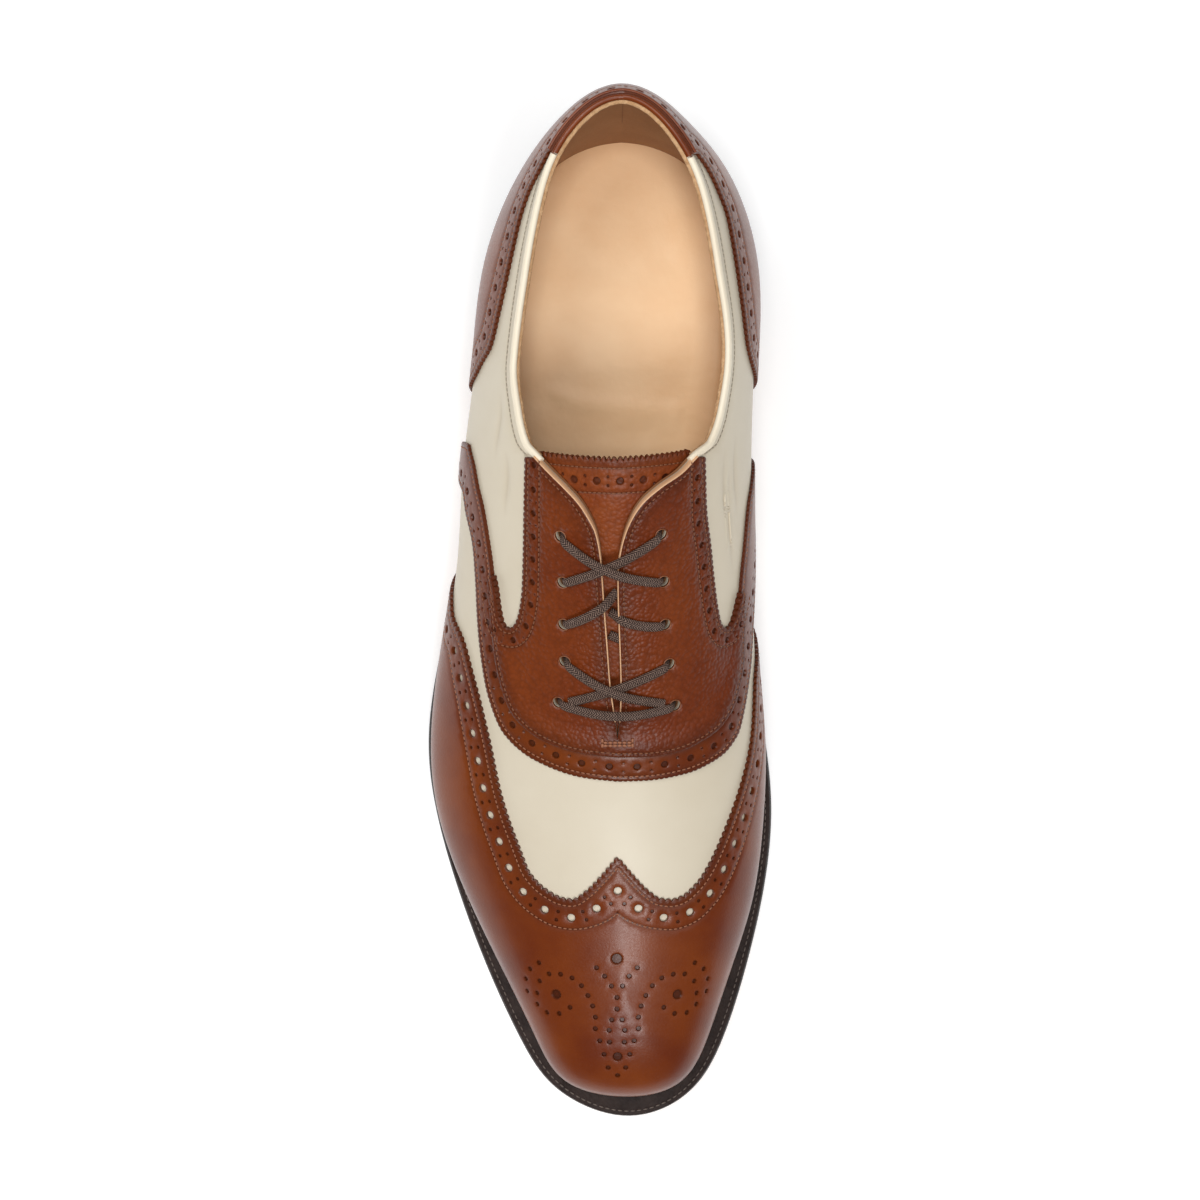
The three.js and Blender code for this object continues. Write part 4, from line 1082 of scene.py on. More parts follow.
def sweep(name: str, path: np.ndarray, normals: np.ndarray, section: Sequence[tuple[float, float]],
          finish: bpy.types.Material, scale: np.ndarray | None = None,
          closed: bool = False) -> bpy.types.Object:
    """A section drawn along a path.

    Args:
        name: The piece's name.
        path: Points in millimetres.
        normals: Which way is up at each.
        section: Corners as (sideways, up), anticlockwise seen against the path.
        finish: Its material.
        scale: How large the section is at each point, 1 where it isn't given.
        closed: Whether the path runs back into its start.

    Returns:
        The piece, closed, with a UV map in millimetres along and round it.
    """
    count, size = len(path), len(section)
    if closed:
        along = unit(np.roll(path, -1, axis=0) - np.roll(path, 1, axis=0))
    else:
        along = unit(np.gradient(path, axis=0))
    side = unit(np.cross(along, normals))
    up = np.cross(side, along)
    corners = np.array(section)[None] * (1 if scale is None else np.asarray(scale)[:, None, None])
    points = (path[:, None] + side[:, None] * corners[..., :1] + up[:, None] * corners[..., 1:])
    faces = []
    for i in range(count if closed else count - 1):
        here, there = i * size, ((i + 1) % count) * size
        for j in range(size):
            k = (j + 1) % size
            faces.append([here + j, there + j, there + k, here + k])
    if not closed:
        faces.append(list(range(size)))
        faces.append([(count - 1) * size + j for j in reversed(range(size))])
    obj = mesh_object(name, points.reshape(-1, 3), faces, 60)
    distance = np.concatenate([[0], np.cumsum(np.linalg.norm(np.diff(path, axis=0), axis=1))])
    ring = np.array([*section, section[0]])
    girth = np.concatenate([[0], np.cumsum(np.linalg.norm(np.diff(ring, axis=0), axis=1))])
    layer = obj.data.uv_layers.new(name="along")
    for face in obj.data.polygons:
        wraps = {vertex % size for vertex in face.vertices}
        for loop_index, vertex in zip(face.loop_indices, face.vertices):
            j = vertex % size
            turn = girth[size] if j == 0 and size - 1 in wraps else girth[j]
            layer.data[loop_index].uv = (distance[vertex // size], turn)
    paint(obj, "edge", np.full(count * size, 12.0))
    obj.data.materials.append(finish)
    return obj


def oval(width: float, height: float, sides: int = 14, power: float = 0.7) -> list:
    """A rounded flat section, wide across and low."""
    turn = np.linspace(0, 2 * np.pi, sides, endpoint=False)
    x, y = np.cos(turn), np.sin(turn)
    return list(zip((np.sign(x) * np.abs(x) ** power * width / 2).tolist(),
                    (np.sign(y) * np.abs(y) ** power * height / 2).tolist()))


def settle(piece: bpy.types.Object, slot: str, *nodes: str) -> None:
    """Makes a piece ride with the shoe and hides the imported solids that it stands for."""
    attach(piece, "root")
    if nodes:
        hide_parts(*nodes)
    log.info("%s is placed", piece.name)


class Tannery:
    """Every finish of the shoe, made once."""

    def __init__(self) -> None:
        """Makes the materials."""
        # Burnished calf: a smooth face, dyed tan brown and darker along its cut edges and the welt,
        # partly rubbed dye and partly painted shade.
        self.burnished_calf = Leather(
            "burnished_calf", "#612508", "#77360b", "#220b04", roughness=0.33, coat=0.12,
            coat_roughness=0.2, mottle=30.0, edge_reach=5.0, pore=0.7, pore_depth=0.05,
            specular=0.26).build()
        # Tumbled calf: the same dye over a soft pebble that catches the light.
        self.tumbled_calf = Leather(
            "tumbled_calf", "#632609", "#76340d", "#220c04", roughness=0.36, coat=0.08,
            mottle=34.0, edge_reach=5.0, pebble=1.2, pebble_depth=0.21, specular=0.24).build()
        self.tongue_calf = Leather(
            "tongue_calf", "#753313", "#86421a", "#30120a", roughness=0.42, coat=0.06,
            pebble=1.2, pebble_depth=0.18, specular=0.24).build()
        self.eyelet_calf = Leather(
            "eyelet_calf", "#8a5032", "#9c6240", "#4a2412", edge_share=0.0).build()
        # Cream calf: pigmented and nearly even, with a soft gloss.
        self.cream_calf = Leather(
            "cream_calf", "#cdc2ad", "#d2c8b4", "#947c5c", roughness=0.46, coat=0.08,
            mottle=30.0, edge_reach=0.9, edge_share=0.25, shade_share=0.55, pore=0.6,
            pore_depth=0.02, specular=0.35).build()
        self.cream_binding = Leather(
            "cream_binding", "#e9dcc4", "#efe4ce", "#9c8464", roughness=0.5, coat=0.05,
            mottle=30.0, pore=0.6, pore_depth=0.03, specular=0.35).build()
        # Natural lining calf, undyed, with its raw cut edge showing round the collar.
        self.lining_calf = Leather(
            "lining_calf", "#9c6c46", "#a87850", "#6e4226", roughness=0.6, coat=0.0,
            mottle=12.0, edge_reach=1.0, edge_share=0.15, pore=0.5, pore_depth=0.05).build()
        self.raw_edge = Leather(
            "raw_lining_edge", "#b98f66", "#d2ab82", "#7d5636", roughness=0.85, coat=0.0,
            mottle=1.6, edge_share=0.0, pore=0.6, pore_depth=0.5, specular=0.2).build()
        # Sock leather, darkened towards its rim with painted shade, where the lining walls shade the
        # insole.
        self.sock_leather = Leather(
            "sock_leather", "#f4c795", "#fbd3a4", "#b47c48", roughness=0.55, coat=0.03,
            mottle=24.0, edge_reach=9.0, edge_share=0.5, pore=0.5, pore_depth=0.03,
            wrinkle=0.6).build()
        self.edge_calf = Leather(
            "natural_edge", "#cfa078", "#dcb088", "#8f6243", roughness=0.5, coat=0.05,
            edge_share=0.0, pore=0.5).build()
        self.welt_leather = Leather(
            "welt_leather", "#241916", "#332723", "#0f0a08", roughness=0.5, coat=0.0,
            mottle=5.0, edge_share=0.0, pore=0.9, pore_depth=0.25, specular=0.15).build()
        # Oak-bark tanned sole leather, natural underneath.
        self.sole_face = Leather(
            "oak_bark_sole_face", "#a8764a", "#b5855a", "#5f3c22", roughness=0.5, coat=0.08,
            mottle=20.0, edge_share=0.0, pore=0.8, pore_depth=0.04).build()
        self.sole_edge = StackedEdge("dressed_sole_edge", "#191312", "#2d2421").build()
        self.heel_rubber = Leather(
            "moulded_rubber", "#1b1918", "#242120", "#0c0b0b", roughness=0.7, coat=0.0,
            mottle=8.0, edge_share=0.0, pore=0.7, pore_depth=0.06).build()
        self.brown_thread = Thread("waxed_brown_thread", "#5c2d17", "#8e5836").build()
        self.tan_thread = Thread("waxed_tan_thread", "#743f27", "#a87050").build()
        self.collar_thread = Thread("waxed_collar_thread", "#7e7565", "#a59b88").build()
        self.welt_thread = Thread("waxed_welt_thread", "#463a34", "#74675f").build()
        self.lace_cotton = BraidedCotton("braided_waxed_cotton", "#2a1a14", "#9a8072").build()


@dataclass
class Workshop:
    """What every sub-assembly is made with."""

    last: Last
    pattern: Pattern
    sewing: Sewing
    finish: Tannery

    def topline(self, side: Side, rows: np.ndarray) -> np.ndarray:
        """Heights of the upper's top edge."""
        column = 1 if side is Side.LATERAL else 2
        return smooth_line(TOPLINE[:, 0], TOPLINE[:, column], rows)

    def rising(self, table: np.ndarray, side: Side, low: float, high: float,
               count: int = 200) -> np.ndarray:
        """A flat line up one side through a table of rows by height, from low to high."""
        column = 1 if side is Side.LATERAL else 2
        heights = np.linspace(low, high, count)
        rows = smooth_line(table[:, 0], table[:, column], heights)
        return self.pattern.line(side.place(rows), heights)

    def collar(self, side: Side, first: float, last: float, count: int = 160,
               lower: float = 0.0) -> np.ndarray:
        """A flat line along the top edge of one side, from one row to another."""
        rows = np.linspace(first, last, count)
        return self.pattern.line(side.place(rows), self.topline(side, rows) - lower)

    def foot_line(self, first: float, last: float, height: float = FOOT) -> np.ndarray:
        """A flat line just above the feather edge, between two loop places."""
        count = max(int(abs(last - first) * 26), 8)
        return self.pattern.line(np.linspace(first, last, count), np.full(count, height))


@dataclass
class Shell:
    """The light body of the upper: quarters and vamp outside, lining inside, bound at the collar."""

    shop: Workshop
    outer_thickness: float = 1.1
    padding: float = 5.6
    strap_row: float = 1.5
    facing_row: float = 4.98

    # Creases on the quarters; the panel dents them and darkens them with painted shade.
    FOLDS = ((Side.MEDIAL, 4.85, 0.545, 5.95, 0.53), (Side.MEDIAL, 5.1, 0.51, 6.2, 0.5),
             (Side.MEDIAL, 4.75, 0.48, 5.6, 0.465), (Side.LATERAL, 4.9, 0.575, 5.6, 0.6),
             (Side.LATERAL, 4.3, 0.53, 5.0, 0.54))

    def mouth(self) -> np.ndarray:
        """The flat outline of the collar and the throat."""
        down = self.shop.collar(Side.LATERAL, 0, THROAT_ROW, 420)
        back = self.shop.collar(Side.MEDIAL, THROAT_ROW, 0, 420)
        return np.concatenate([down, back[1:-1]])

    def build(self) -> None:
        """Makes the body, the lining and the bindings."""
        shop = self.shop
        eyes = [Punch(tuple(point), 1.9, 0.0) for point in eyelet_places(shop)]
        foot = shop.foot_line(0, LOOP, 0.002)[:-1]
        mouth = self.mouth()
        collar_seams = [shop.collar(side, self.strap_row + 0.1, self.facing_row - 0.02, 120, 0.034)
                        for side in Side]
        body = Panel(shop.pattern, foot, top=0.0, bottom=-self.outer_thickness, spacing=2.3,
                     roll=0.25, punches=eyes, cutouts=[mouth], seams=collar_seams,
                     folds=self.creases())
        settle(body.build("upper_body", shop.finish.cream_calf), "cream_calf", "upper")
        back_seam = shop.pattern.line(np.zeros(60), np.linspace(0.18, 0.5, 60))
        lining = Panel(shop.pattern, foot, top=-self.outer_thickness - 0.02,
                       bottom=self.lining_face, spacing=2.6, roll=0.05,
                       punches=eyes, cutouts=[mouth], seams=[back_seam])
        settle(lining.build("upper_lining", shop.finish.lining_calf), "insole_leather", "upper")
        stitches = shop.sewing.seams(
            "collar_stitches", [(line, -0.08) for line in collar_seams], Stitch(width=0.4),
            shop.finish.collar_thread)
        settle(stitches, "cream_calf", "upper")
        self.bind("collar_binding_lateral", 1, self.strap_row, self.facing_row + 0.05,
                  shop.finish.cream_binding, "cream_calf")
        self.bind("collar_binding_medial", -1, self.strap_row, self.facing_row + 0.05,
                  shop.finish.cream_binding, "cream_calf")
        self.bind("collar_binding_heel", 0, -self.strap_row - 0.03, self.strap_row + 0.03,
                  shop.finish.burnished_calf, "brown_calf")
        self.bind("collar_binding_heel_outer", 0, -self.strap_row, self.strap_row,
                  shop.finish.burnished_calf, "brown_calf", 1.2, (1.3, 1.1), 0.012)
        self.bind("collar_lining_edge", 0, -self.facing_row, self.facing_row,
                  shop.finish.raw_edge, "insole_leather", -1.75, (1.1, 1.35))

    def lining_face(self, c: np.ndarray, v: np.ndarray) -> np.ndarray:
        """Where the lining's inner face lies, padded at the foot of the heel."""
        from_heel = np.minimum(c % LOOP, LOOP - c % LOOP)
        pad = self.padding * smoothstep(1.9, 0.1, from_heel) * np.clip(1 - v / 0.5, 0, 1)**1.3
        return -self.shop.last.thickness(c, v) - pad

    def creases(self) -> list[np.ndarray]:
        """Fine creases along the quarters, given as row and height at both ends."""
        lines = []
        for side, first_row, first, last_row, last in self.FOLDS:
            c = side.place(np.linspace(first_row, last_row, 40))
            heights = np.linspace(first, last, 40) + 0.008 * np.sin(np.linspace(0, 5, 40))
            lines.append(self.shop.pattern.line(c, heights))
        return lines

    def bind(self, name: str, side: int, first: float, last: float,
             finish: bpy.types.Material, slot: str, middle: float = -0.325,
             size: tuple[float, float] = (2.2, 1.75), lower: float = 0.0) -> None:
        """A rolled binding or edge along the top edge.

        Args:
            name: The piece's name.
            side: 1 for the outer side, -1 for the inner one, 0 round the heel.
            first: Row where it starts, minus on the inner side of the heel.
            last: Row where it ends.
            finish: Its material.
            slot: Not used.
            middle: Lift of its middle.
            size: Its height along the wall and its width across it.
            lower: How far it lies under the top edge, as a height v.
        """
        shop = self.shop
        rows = np.linspace(first, last, 220)
        lateral = rows >= 0 if side == 0 else np.full(len(rows), side > 0)
        height = np.where(lateral, shop.topline(Side.LATERAL, np.abs(rows)),
                          shop.topline(Side.MEDIAL, np.abs(rows)))
        c = np.where(lateral, np.abs(rows), LOOP - np.abs(rows))
        path = shop.last.skin(c, height - lower, middle)
        piece = sweep(name, path, shop.last.normal(c, height), oval(*size), finish)
        settle(piece, slot, "upper")


def eyelet_places(shop: Workshop) -> np.ndarray:
    """Flat places of all the eyelets: the outer side from the top down, then the inner side."""
    lateral = shop.pattern.line(EYELETS[:, 0], EYELETS[:, 1])
    medial = shop.pattern.line(LOOP - EYELETS[:, 2], EYELETS[:, 3])
    return np.concatenate([lateral, medial])


@dataclass
class WingCap:
    """The wing cap: a gimped, twice stitched and punched edge, and a medallion on the toe."""

    shop: Workshop
    scallop: float = 1.95
    scallop_depth: float = 0.75
    first_seam: float = 1.5
    second_seam: float = 8.6
    punch_line: float = 5.1
    punch_spacing: float = 8.25
    large: float = 1.22
    small: float = 0.58
    view_height: float = 900.0
    view_y: float = 4.68
    medallion_at: tuple[float, float] = (5.0, -101.4)
    medallion_level: float = 45.0

    # Half of the medallion, as distance from its middle line and down from its top mark.
    HALF = ((6.05, 2.6), (3.65, 5.1), (1.65, 8.0), (1.55, 18.0), (2.3, 21.1), (2.2, 24.6),
            (23.1, 1.1), (25.7, 2.9), (26.9, 5.8), (26.5, 9.4), (22.9, 6.5), (23.6, 10.0),
            (23.5, 13.3), (20.7, 15.8), (17.1, 16.1), (13.9, 14.3), (20.1, 4.4), (16.7, 4.5),
            (13.3, 5.6), (10.5, 7.9), (8.6, 10.8), (7.2, 13.9), (6.4, 17.2), (6.4, 20.6),
            (5.1, 24.2), (3.8, 28.2), (2.6, 32.1))
    MIDDLE = ((0.0, 11.4), (0.0, 14.8), (0.2, 34.4))
    LARGE = ((0.0, 0.0, 1.85), (-18.0, 10.45, 1.6), (18.0, 10.45, 1.6), (0.2, 28.9, 1.5))

    def seen(self, marks: np.ndarray) -> np.ndarray:
        """Flat places of marks that are given as they look from straight above."""
        middle = np.array([0.0, self.view_y])
        target = marks - middle
        flat = marks.copy()
        for _ in range(8):
            laid = self.shop.last.lay(flat, 1.2)
            shrink = ((self.view_height - self.medallion_level)
                      / (self.view_height - laid[:, 2]))[:, None]
            flat = flat + target - (laid[:, :2] - middle) * shrink
        return flat

    def medallion(self) -> list[Punch]:
        """The punched flower on the toe."""
        small = [(sign * x, y, 0.78) for x, y in self.HALF for sign in (-1, 1)]
        marks = np.array([*small, *((x, y, 0.78) for x, y in self.MIDDLE), *self.LARGE])
        centre = np.array(self.medallion_at)
        places = self.seen(centre + marks[:, :2] * np.array([1.0, -1.0]))
        return [Punch(tuple(place), radius, 0.6) for place, radius in zip(places, marks[:, 2])]

    def build(self) -> None:
        """Cuts, punches, lays and stitches the wing cap."""
        shop, pattern = self.shop, self.shop.pattern
        inner = shop.rising(WING_EDGE, Side.MEDIAL, FOOT, 1, 320)
        outer = shop.rising(WING_EDGE, Side.LATERAL, FOOT, 1, 320)[::-1]
        edge = np.concatenate([inner, outer[1:]])
        foot = shop.foot_line(WING_EDGE[0, 1], LOOP - WING_EDGE[0, 2])
        outline = np.concatenate([pattern.gimped(edge, self.scallop, self.scallop_depth), foot[1:-1]])
        seams = [pattern.offset(edge, self.first_seam), pattern.offset(edge, self.second_seam)]
        row = pattern.offset(edge, self.punch_line)
        for line, drop in ((seams[1], 2.6), (row, 1.2)):
            line[:, 1] -= drop * np.exp(-((line[:, 0] - self.medallion_at[0]) / 6)**2)
        peak = int(row[:, 1].argmax()) if len(row) < 10 else self.peak_of(row)
        punches = pattern.punched_row(row[peak:], self.punch_spacing, self.large, self.small,
                                      through=True, margin=0.0)
        others = pattern.punched_row(row[:peak + 1][::-1], self.punch_spacing, self.large,
                                     self.small, through=True, margin=0.0)
        panel = Panel(pattern, outline, punches=punches + others[1:] + self.medallion(),
                      seams=seams, spacing=1.5, rims=False)
        settle(panel.build("wing_cap_leather", shop.finish.burnished_calf), "brown_calf", "wing_cap")
        sewn = shop.sewing.seams("wing_cap_stitches", [(line, 1.14) for line in seams], Stitch(),
                                 shop.finish.tan_thread)
        settle(sewn, "brown_calf", "wing_cap")

    def peak_of(self, row: np.ndarray) -> int:
        """Where a line over the wing crosses its centre peak."""
        middle = self.medallion_at[0]
        near = np.abs(row[:, 0] - middle) < 6
        return int(np.where(near, row[:, 1], -1e9).argmax())


@dataclass
class Band:
    """The punched band under the facings, finely gimped towards the toe."""

    shop: Workshop
    scallop: float = 1.5
    scallop_depth: float = 0.32
    seam: float = 1.3
    punch_line: float = 4.3
    punch_spacing: float = 7.9

    def build(self) -> None:
        """Cuts, punches, lays and stitches the band."""
        shop, pattern = self.shop, self.shop.pattern
        outer = np.concatenate([shop.rising(BAND_OUTER, Side.LATERAL, FOOT, 1, 260),
                                shop.rising(BAND_OUTER, Side.MEDIAL, FOOT, 1, 260)[::-1][1:]])
        inner = np.concatenate([shop.rising(BAND_INNER, Side.MEDIAL, FOOT, 1, 260),
                                shop.rising(BAND_INNER, Side.LATERAL, FOOT, 1, 260)[::-1][1:]])
        feet = [shop.foot_line(LOOP - BAND_OUTER[0, 2], LOOP - BAND_INNER[0, 2]),
                shop.foot_line(BAND_INNER[0, 1], BAND_OUTER[0, 1])]
        outline = np.concatenate([
            pattern.gimped(outer, self.scallop, self.scallop_depth), feet[0][1:-1],
            pattern.gimped(inner, self.scallop, self.scallop_depth * 0.8), feet[1][1:-1]])
        seams = [pattern.offset(outer, self.seam), pattern.offset(inner, self.seam)]
        row = pattern.offset(outer, self.punch_line)
        middle = len(row) // 2
        punches = (pattern.punched_row(row[middle:], self.punch_spacing, 1.15, 0.5, margin=0.0)
                   + pattern.punched_row(row[:middle + 1][::-1], self.punch_spacing, 1.15, 0.5,
                                         margin=0.0)[1:])
        panel = Panel(pattern, outline, top=1.15, punches=punches, seams=seams, spacing=1.7)
        settle(panel.build("band_leather", shop.finish.burnished_calf), "brown_calf", "band")
        sewn = shop.sewing.seams("band_stitches", [(line, 1.04) for line in seams], Stitch(),
                                 shop.finish.tan_thread)
        settle(sewn, "brown_calf", "band")


@dataclass
class Facings:
    """Both facings in one panel round the throat, folded over the band and gimped at the quarters."""

    shop: Workshop
    scallop: float = 1.8
    scallop_depth: float = 0.5
    overlap: float = 1.2
    fold_lift: float = 0.9
    top: float = 1.25
    meets_band: tuple[float, float] = (0.563, 0.455)

    # Where the edge turns round the foot of the light quarter and runs out over the band.
    TURN_LATERAL = ((6.52, 0.687), (6.68, 0.672), (6.73, 0.650), (6.68, 0.625), (6.52, 0.604),
                    (6.30, 0.584), (6.16, 0.566))
    TURN_MEDIAL = ((6.51, 0.599), (6.68, 0.582), (6.73, 0.558), (6.70, 0.532), (6.60, 0.506),
                   (6.46, 0.482), (6.34, 0.460))

    def beside_quarter(self, side: Side) -> np.ndarray:
        """The flat edge beside the quarter, from the collar round its foot."""
        first = 0 if side is Side.LATERAL else 2
        straight = [tuple(row[first:first + 2]) for row in FACING_EDGE[:5]]
        turn = self.TURN_LATERAL if side is Side.LATERAL else self.TURN_MEDIAL
        knots = np.array([*straight, *turn])
        at = np.concatenate([[0], np.cumsum(np.hypot(np.diff(knots[:, 0]),
                                                     6 * np.diff(knots[:, 1])))])
        fine = np.linspace(0, at[-1], 260)
        rows = smooth_line(at, knots[:, 0], fine)
        return self.shop.pattern.line(side.place(rows), smooth_line(at, knots[:, 1], fine))

    def build(self) -> None:
        """Cuts, punches, lays and stitches the facings."""
        shop, pattern = self.shop, self.shop.pattern
        lateral = self.beside_quarter(Side.LATERAL)
        medial = self.beside_quarter(Side.MEDIAL)[::-1]
        band = np.concatenate([
            shop.rising(BAND_INNER, Side.LATERAL, self.meets_band[0], 1, 200),
            shop.rising(BAND_INNER, Side.MEDIAL, self.meets_band[1], 1, 200)[::-1][1:]])
        fold = pattern.offset(band, -self.overlap)
        throat = np.concatenate([shop.collar(Side.MEDIAL, 4.98, THROAT_ROW, 260),
                                 shop.collar(Side.LATERAL, THROAT_ROW, 4.98, 260)[1:]])
        outline = np.concatenate([
            pattern.gimped(lateral, self.scallop, self.scallop_depth)[:-2], fold[2:-2],
            pattern.gimped(medial, self.scallop, self.scallop_depth)[2:], throat[1:-1]])
        eyes = [Punch(tuple(point), 1.85, 0.0) for point in eyelet_places(shop)]
        sides = [lateral, medial]
        close = [pattern.offset(line, 1.1) for line in sides]
        far = [pattern.offset(line, 5.2) for line in sides]
        rows = [pattern.punched_row(pattern.offset(line, 3.15), 7.2, 1.0, 0.45, spread=1.0)
                for line in sides]
        edge = [pattern.offset(line, 1.5)[3:-3] for line in
                (shop.collar(Side.MEDIAL, 5.0, 7.75, 200), shop.collar(Side.LATERAL, 7.75, 5.0, 200))]
        fold_seam = pattern.offset(fold, 1.25)
        seams = [*close, *far, *edge, fold_seam]

        def raised(flat: np.ndarray) -> np.ndarray:
            """The lift beside the fold, for each flat point."""
            return self.fold_lift * (1 - smoothstep(1.5, 8.0, nearest(flat, fold)))

        panel = Panel(pattern, outline, top=self.top, punches=eyes + rows[0] + rows[1],
                      seams=seams, spacing=1.6, raised=raised)
        settle(panel.build("facing_leather", shop.finish.tumbled_calf), "brown_calf", "facing")
        sewn = shop.sewing.seams("facing_stitches", [(line, self.top - 0.13) for line in seams],
                                 Stitch(), shop.finish.brown_thread, raised)
        settle(sewn, "brown_calf", "facing")
        for side, name in ((Side.LATERAL, "lateral"), (Side.MEDIAL, "medial")):
            rows_along = np.linspace(4.98, 7.72, 160)
            heights = shop.topline(side, rows_along)
            c = side.place(rows_along)
            path = shop.last.skin(c, heights, 0.25)
            piece = sweep(f"facing_folded_edge_{name}", path, shop.last.normal(c, heights),
                          oval(0.5, 1.9), shop.finish.edge_calf)
            settle(piece, "insole_leather", "facing")
        self.bar_tack(raised)

    def bar_tack(self, raised: Callable[[np.ndarray], np.ndarray]) -> None:
        """The short thread bar that locks the foot of the throat."""
        shop = self.shop
        middle = shop.pattern.line(np.array([7.92]), np.array([1.0]))[0]
        across = middle + np.stack([np.linspace(-4.0, 4.0, 15), np.full(15, -0.6)], axis=1)
        pieces = [(across + np.array([0.0, step]), self.top + 0.35) for step in (0.0, -0.8)]
        for x in (-4.2, 4.2):
            end = middle + np.stack([np.full(8, x), np.linspace(0.6, -2.0, 8)], axis=1)
            pieces.append((end, self.top + 0.35))
        sewn = shop.sewing.seams("throat_bar_tack", pieces, Stitch(1.3, 0.02, 0.95),
                                 shop.finish.tan_thread, raised)
        settle(sewn, "brown_calf", "facing")


@dataclass
class Counter:
    """The heel counter, from the sole up to the collar at the back strap."""

    shop: Workshop
    scallop: float = 1.8
    scallop_depth: float = 0.55
    strap_row: float = 1.5

    def build(self) -> None:
        """Cuts, punches, lays and stitches the counter."""
        shop, pattern = self.shop, self.shop.pattern
        rows = np.linspace(COUNTER_EDGE[0, 0], COUNTER_EDGE[-1, 0], 240)
        sides = {side: pattern.line(side.place(rows), smooth_line(
            COUNTER_EDGE[:, 0], COUNTER_EDGE[:, 1 if side is Side.LATERAL else 2], rows))
            for side in Side}
        lateral, medial = sides[Side.LATERAL][::-1], sides[Side.MEDIAL]
        strap = np.concatenate([shop.collar(Side.LATERAL, self.strap_row, 0, 60, 0.002),
                                shop.collar(Side.MEDIAL, 0, self.strap_row, 60, 0.002)[1:]])
        foot = shop.foot_line(-COUNTER_EDGE[-1, 0], COUNTER_EDGE[-1, 0])
        outline = np.concatenate([
            pattern.gimped(lateral, self.scallop, self.scallop_depth), strap,
            pattern.gimped(medial, self.scallop, self.scallop_depth), foot[1:-1]])
        whole = np.concatenate([lateral, strap, medial])
        seams = [pattern.offset(whole, 1.4), pattern.offset(whole, 7.6)]
        punches = pattern.punched_row(pattern.offset(whole, 4.5), 7.6, 1.15, 0.5)
        panel = Panel(pattern, outline, punches=punches, seams=seams, spacing=2.0)
        settle(panel.build("counter_leather", shop.finish.burnished_calf), "brown_calf", "counter")
        sewn = shop.sewing.seams("counter_stitches", [(line, 1.14) for line in seams], Stitch(),
                                 shop.finish.tan_thread)
        settle(sewn, "brown_calf", "counter")


@dataclass
class Tongue:
    """The tongue, with its gimped and punched top edge."""

    shop: Workshop
    top: float = -2.85
    thickness: float = 1.9
    sag: float = 2.6

    def build(self) -> None:
        """Cuts, punches, lays and stitches the tongue."""
        shop, pattern = self.shop, self.shop.pattern
        rows = np.linspace(TONGUE_EDGE[0, 0], TONGUE_EDGE[-1, 0], 90)
        heights = smooth_line(TONGUE_EDGE[:, 0], TONGUE_EDGE[:, 1], rows)
        lateral = pattern.line(rows, heights)
        medial = pattern.line(LOOP - rows, heights)[::-1]
        low, high = TONGUE_EDGE[-1, 1], TONGUE_EDGE[0, 1]
        end_row, top_row = TONGUE_EDGE[-1, 0], TONGUE_EDGE[0, 0]
        rise, drop = np.linspace(low, 1, 30), np.linspace(1, low, 30)
        end = np.concatenate([pattern.line(np.full(30, end_row), rise),
                              pattern.line(np.full(30, LOOP - end_row), drop)[1:]])
        up, down = np.linspace(high, 1, 60), np.linspace(1, high, 60)
        edge = np.concatenate([pattern.line(np.full(60, LOOP - top_row), up),
                               pattern.line(np.full(60, top_row), down)[1:]])
        edge[:, 1] -= self.sag * np.sin(np.pi * np.linspace(0, 1, len(edge)))**0.8
        outline = np.concatenate([lateral[1:], end[1:-1], medial[:-1],
                                  pattern.gimped(edge, 1.9, 1.1)])
        seams = [pattern.offset(edge, 2.1)[3:-3], pattern.offset(edge, 9.6)[3:-3]]
        punches = pattern.punched_row(pattern.offset(edge, 6.0)[2:-2], 7.6, 1.3, 0.55)
        panel = Panel(pattern, outline, top=self.top, bottom=self.top - self.thickness,
                      punches=punches, seams=seams, spacing=1.5)
        settle(panel.build("tongue_leather", shop.finish.tongue_calf), "tongue_calf", "tongue")
        sewn = shop.sewing.seams("tongue_stitches", [(line, self.top - 0.13) for line in seams],
                                 Stitch(), shop.finish.brown_thread)
        settle(sewn, "tongue_calf", "tongue")


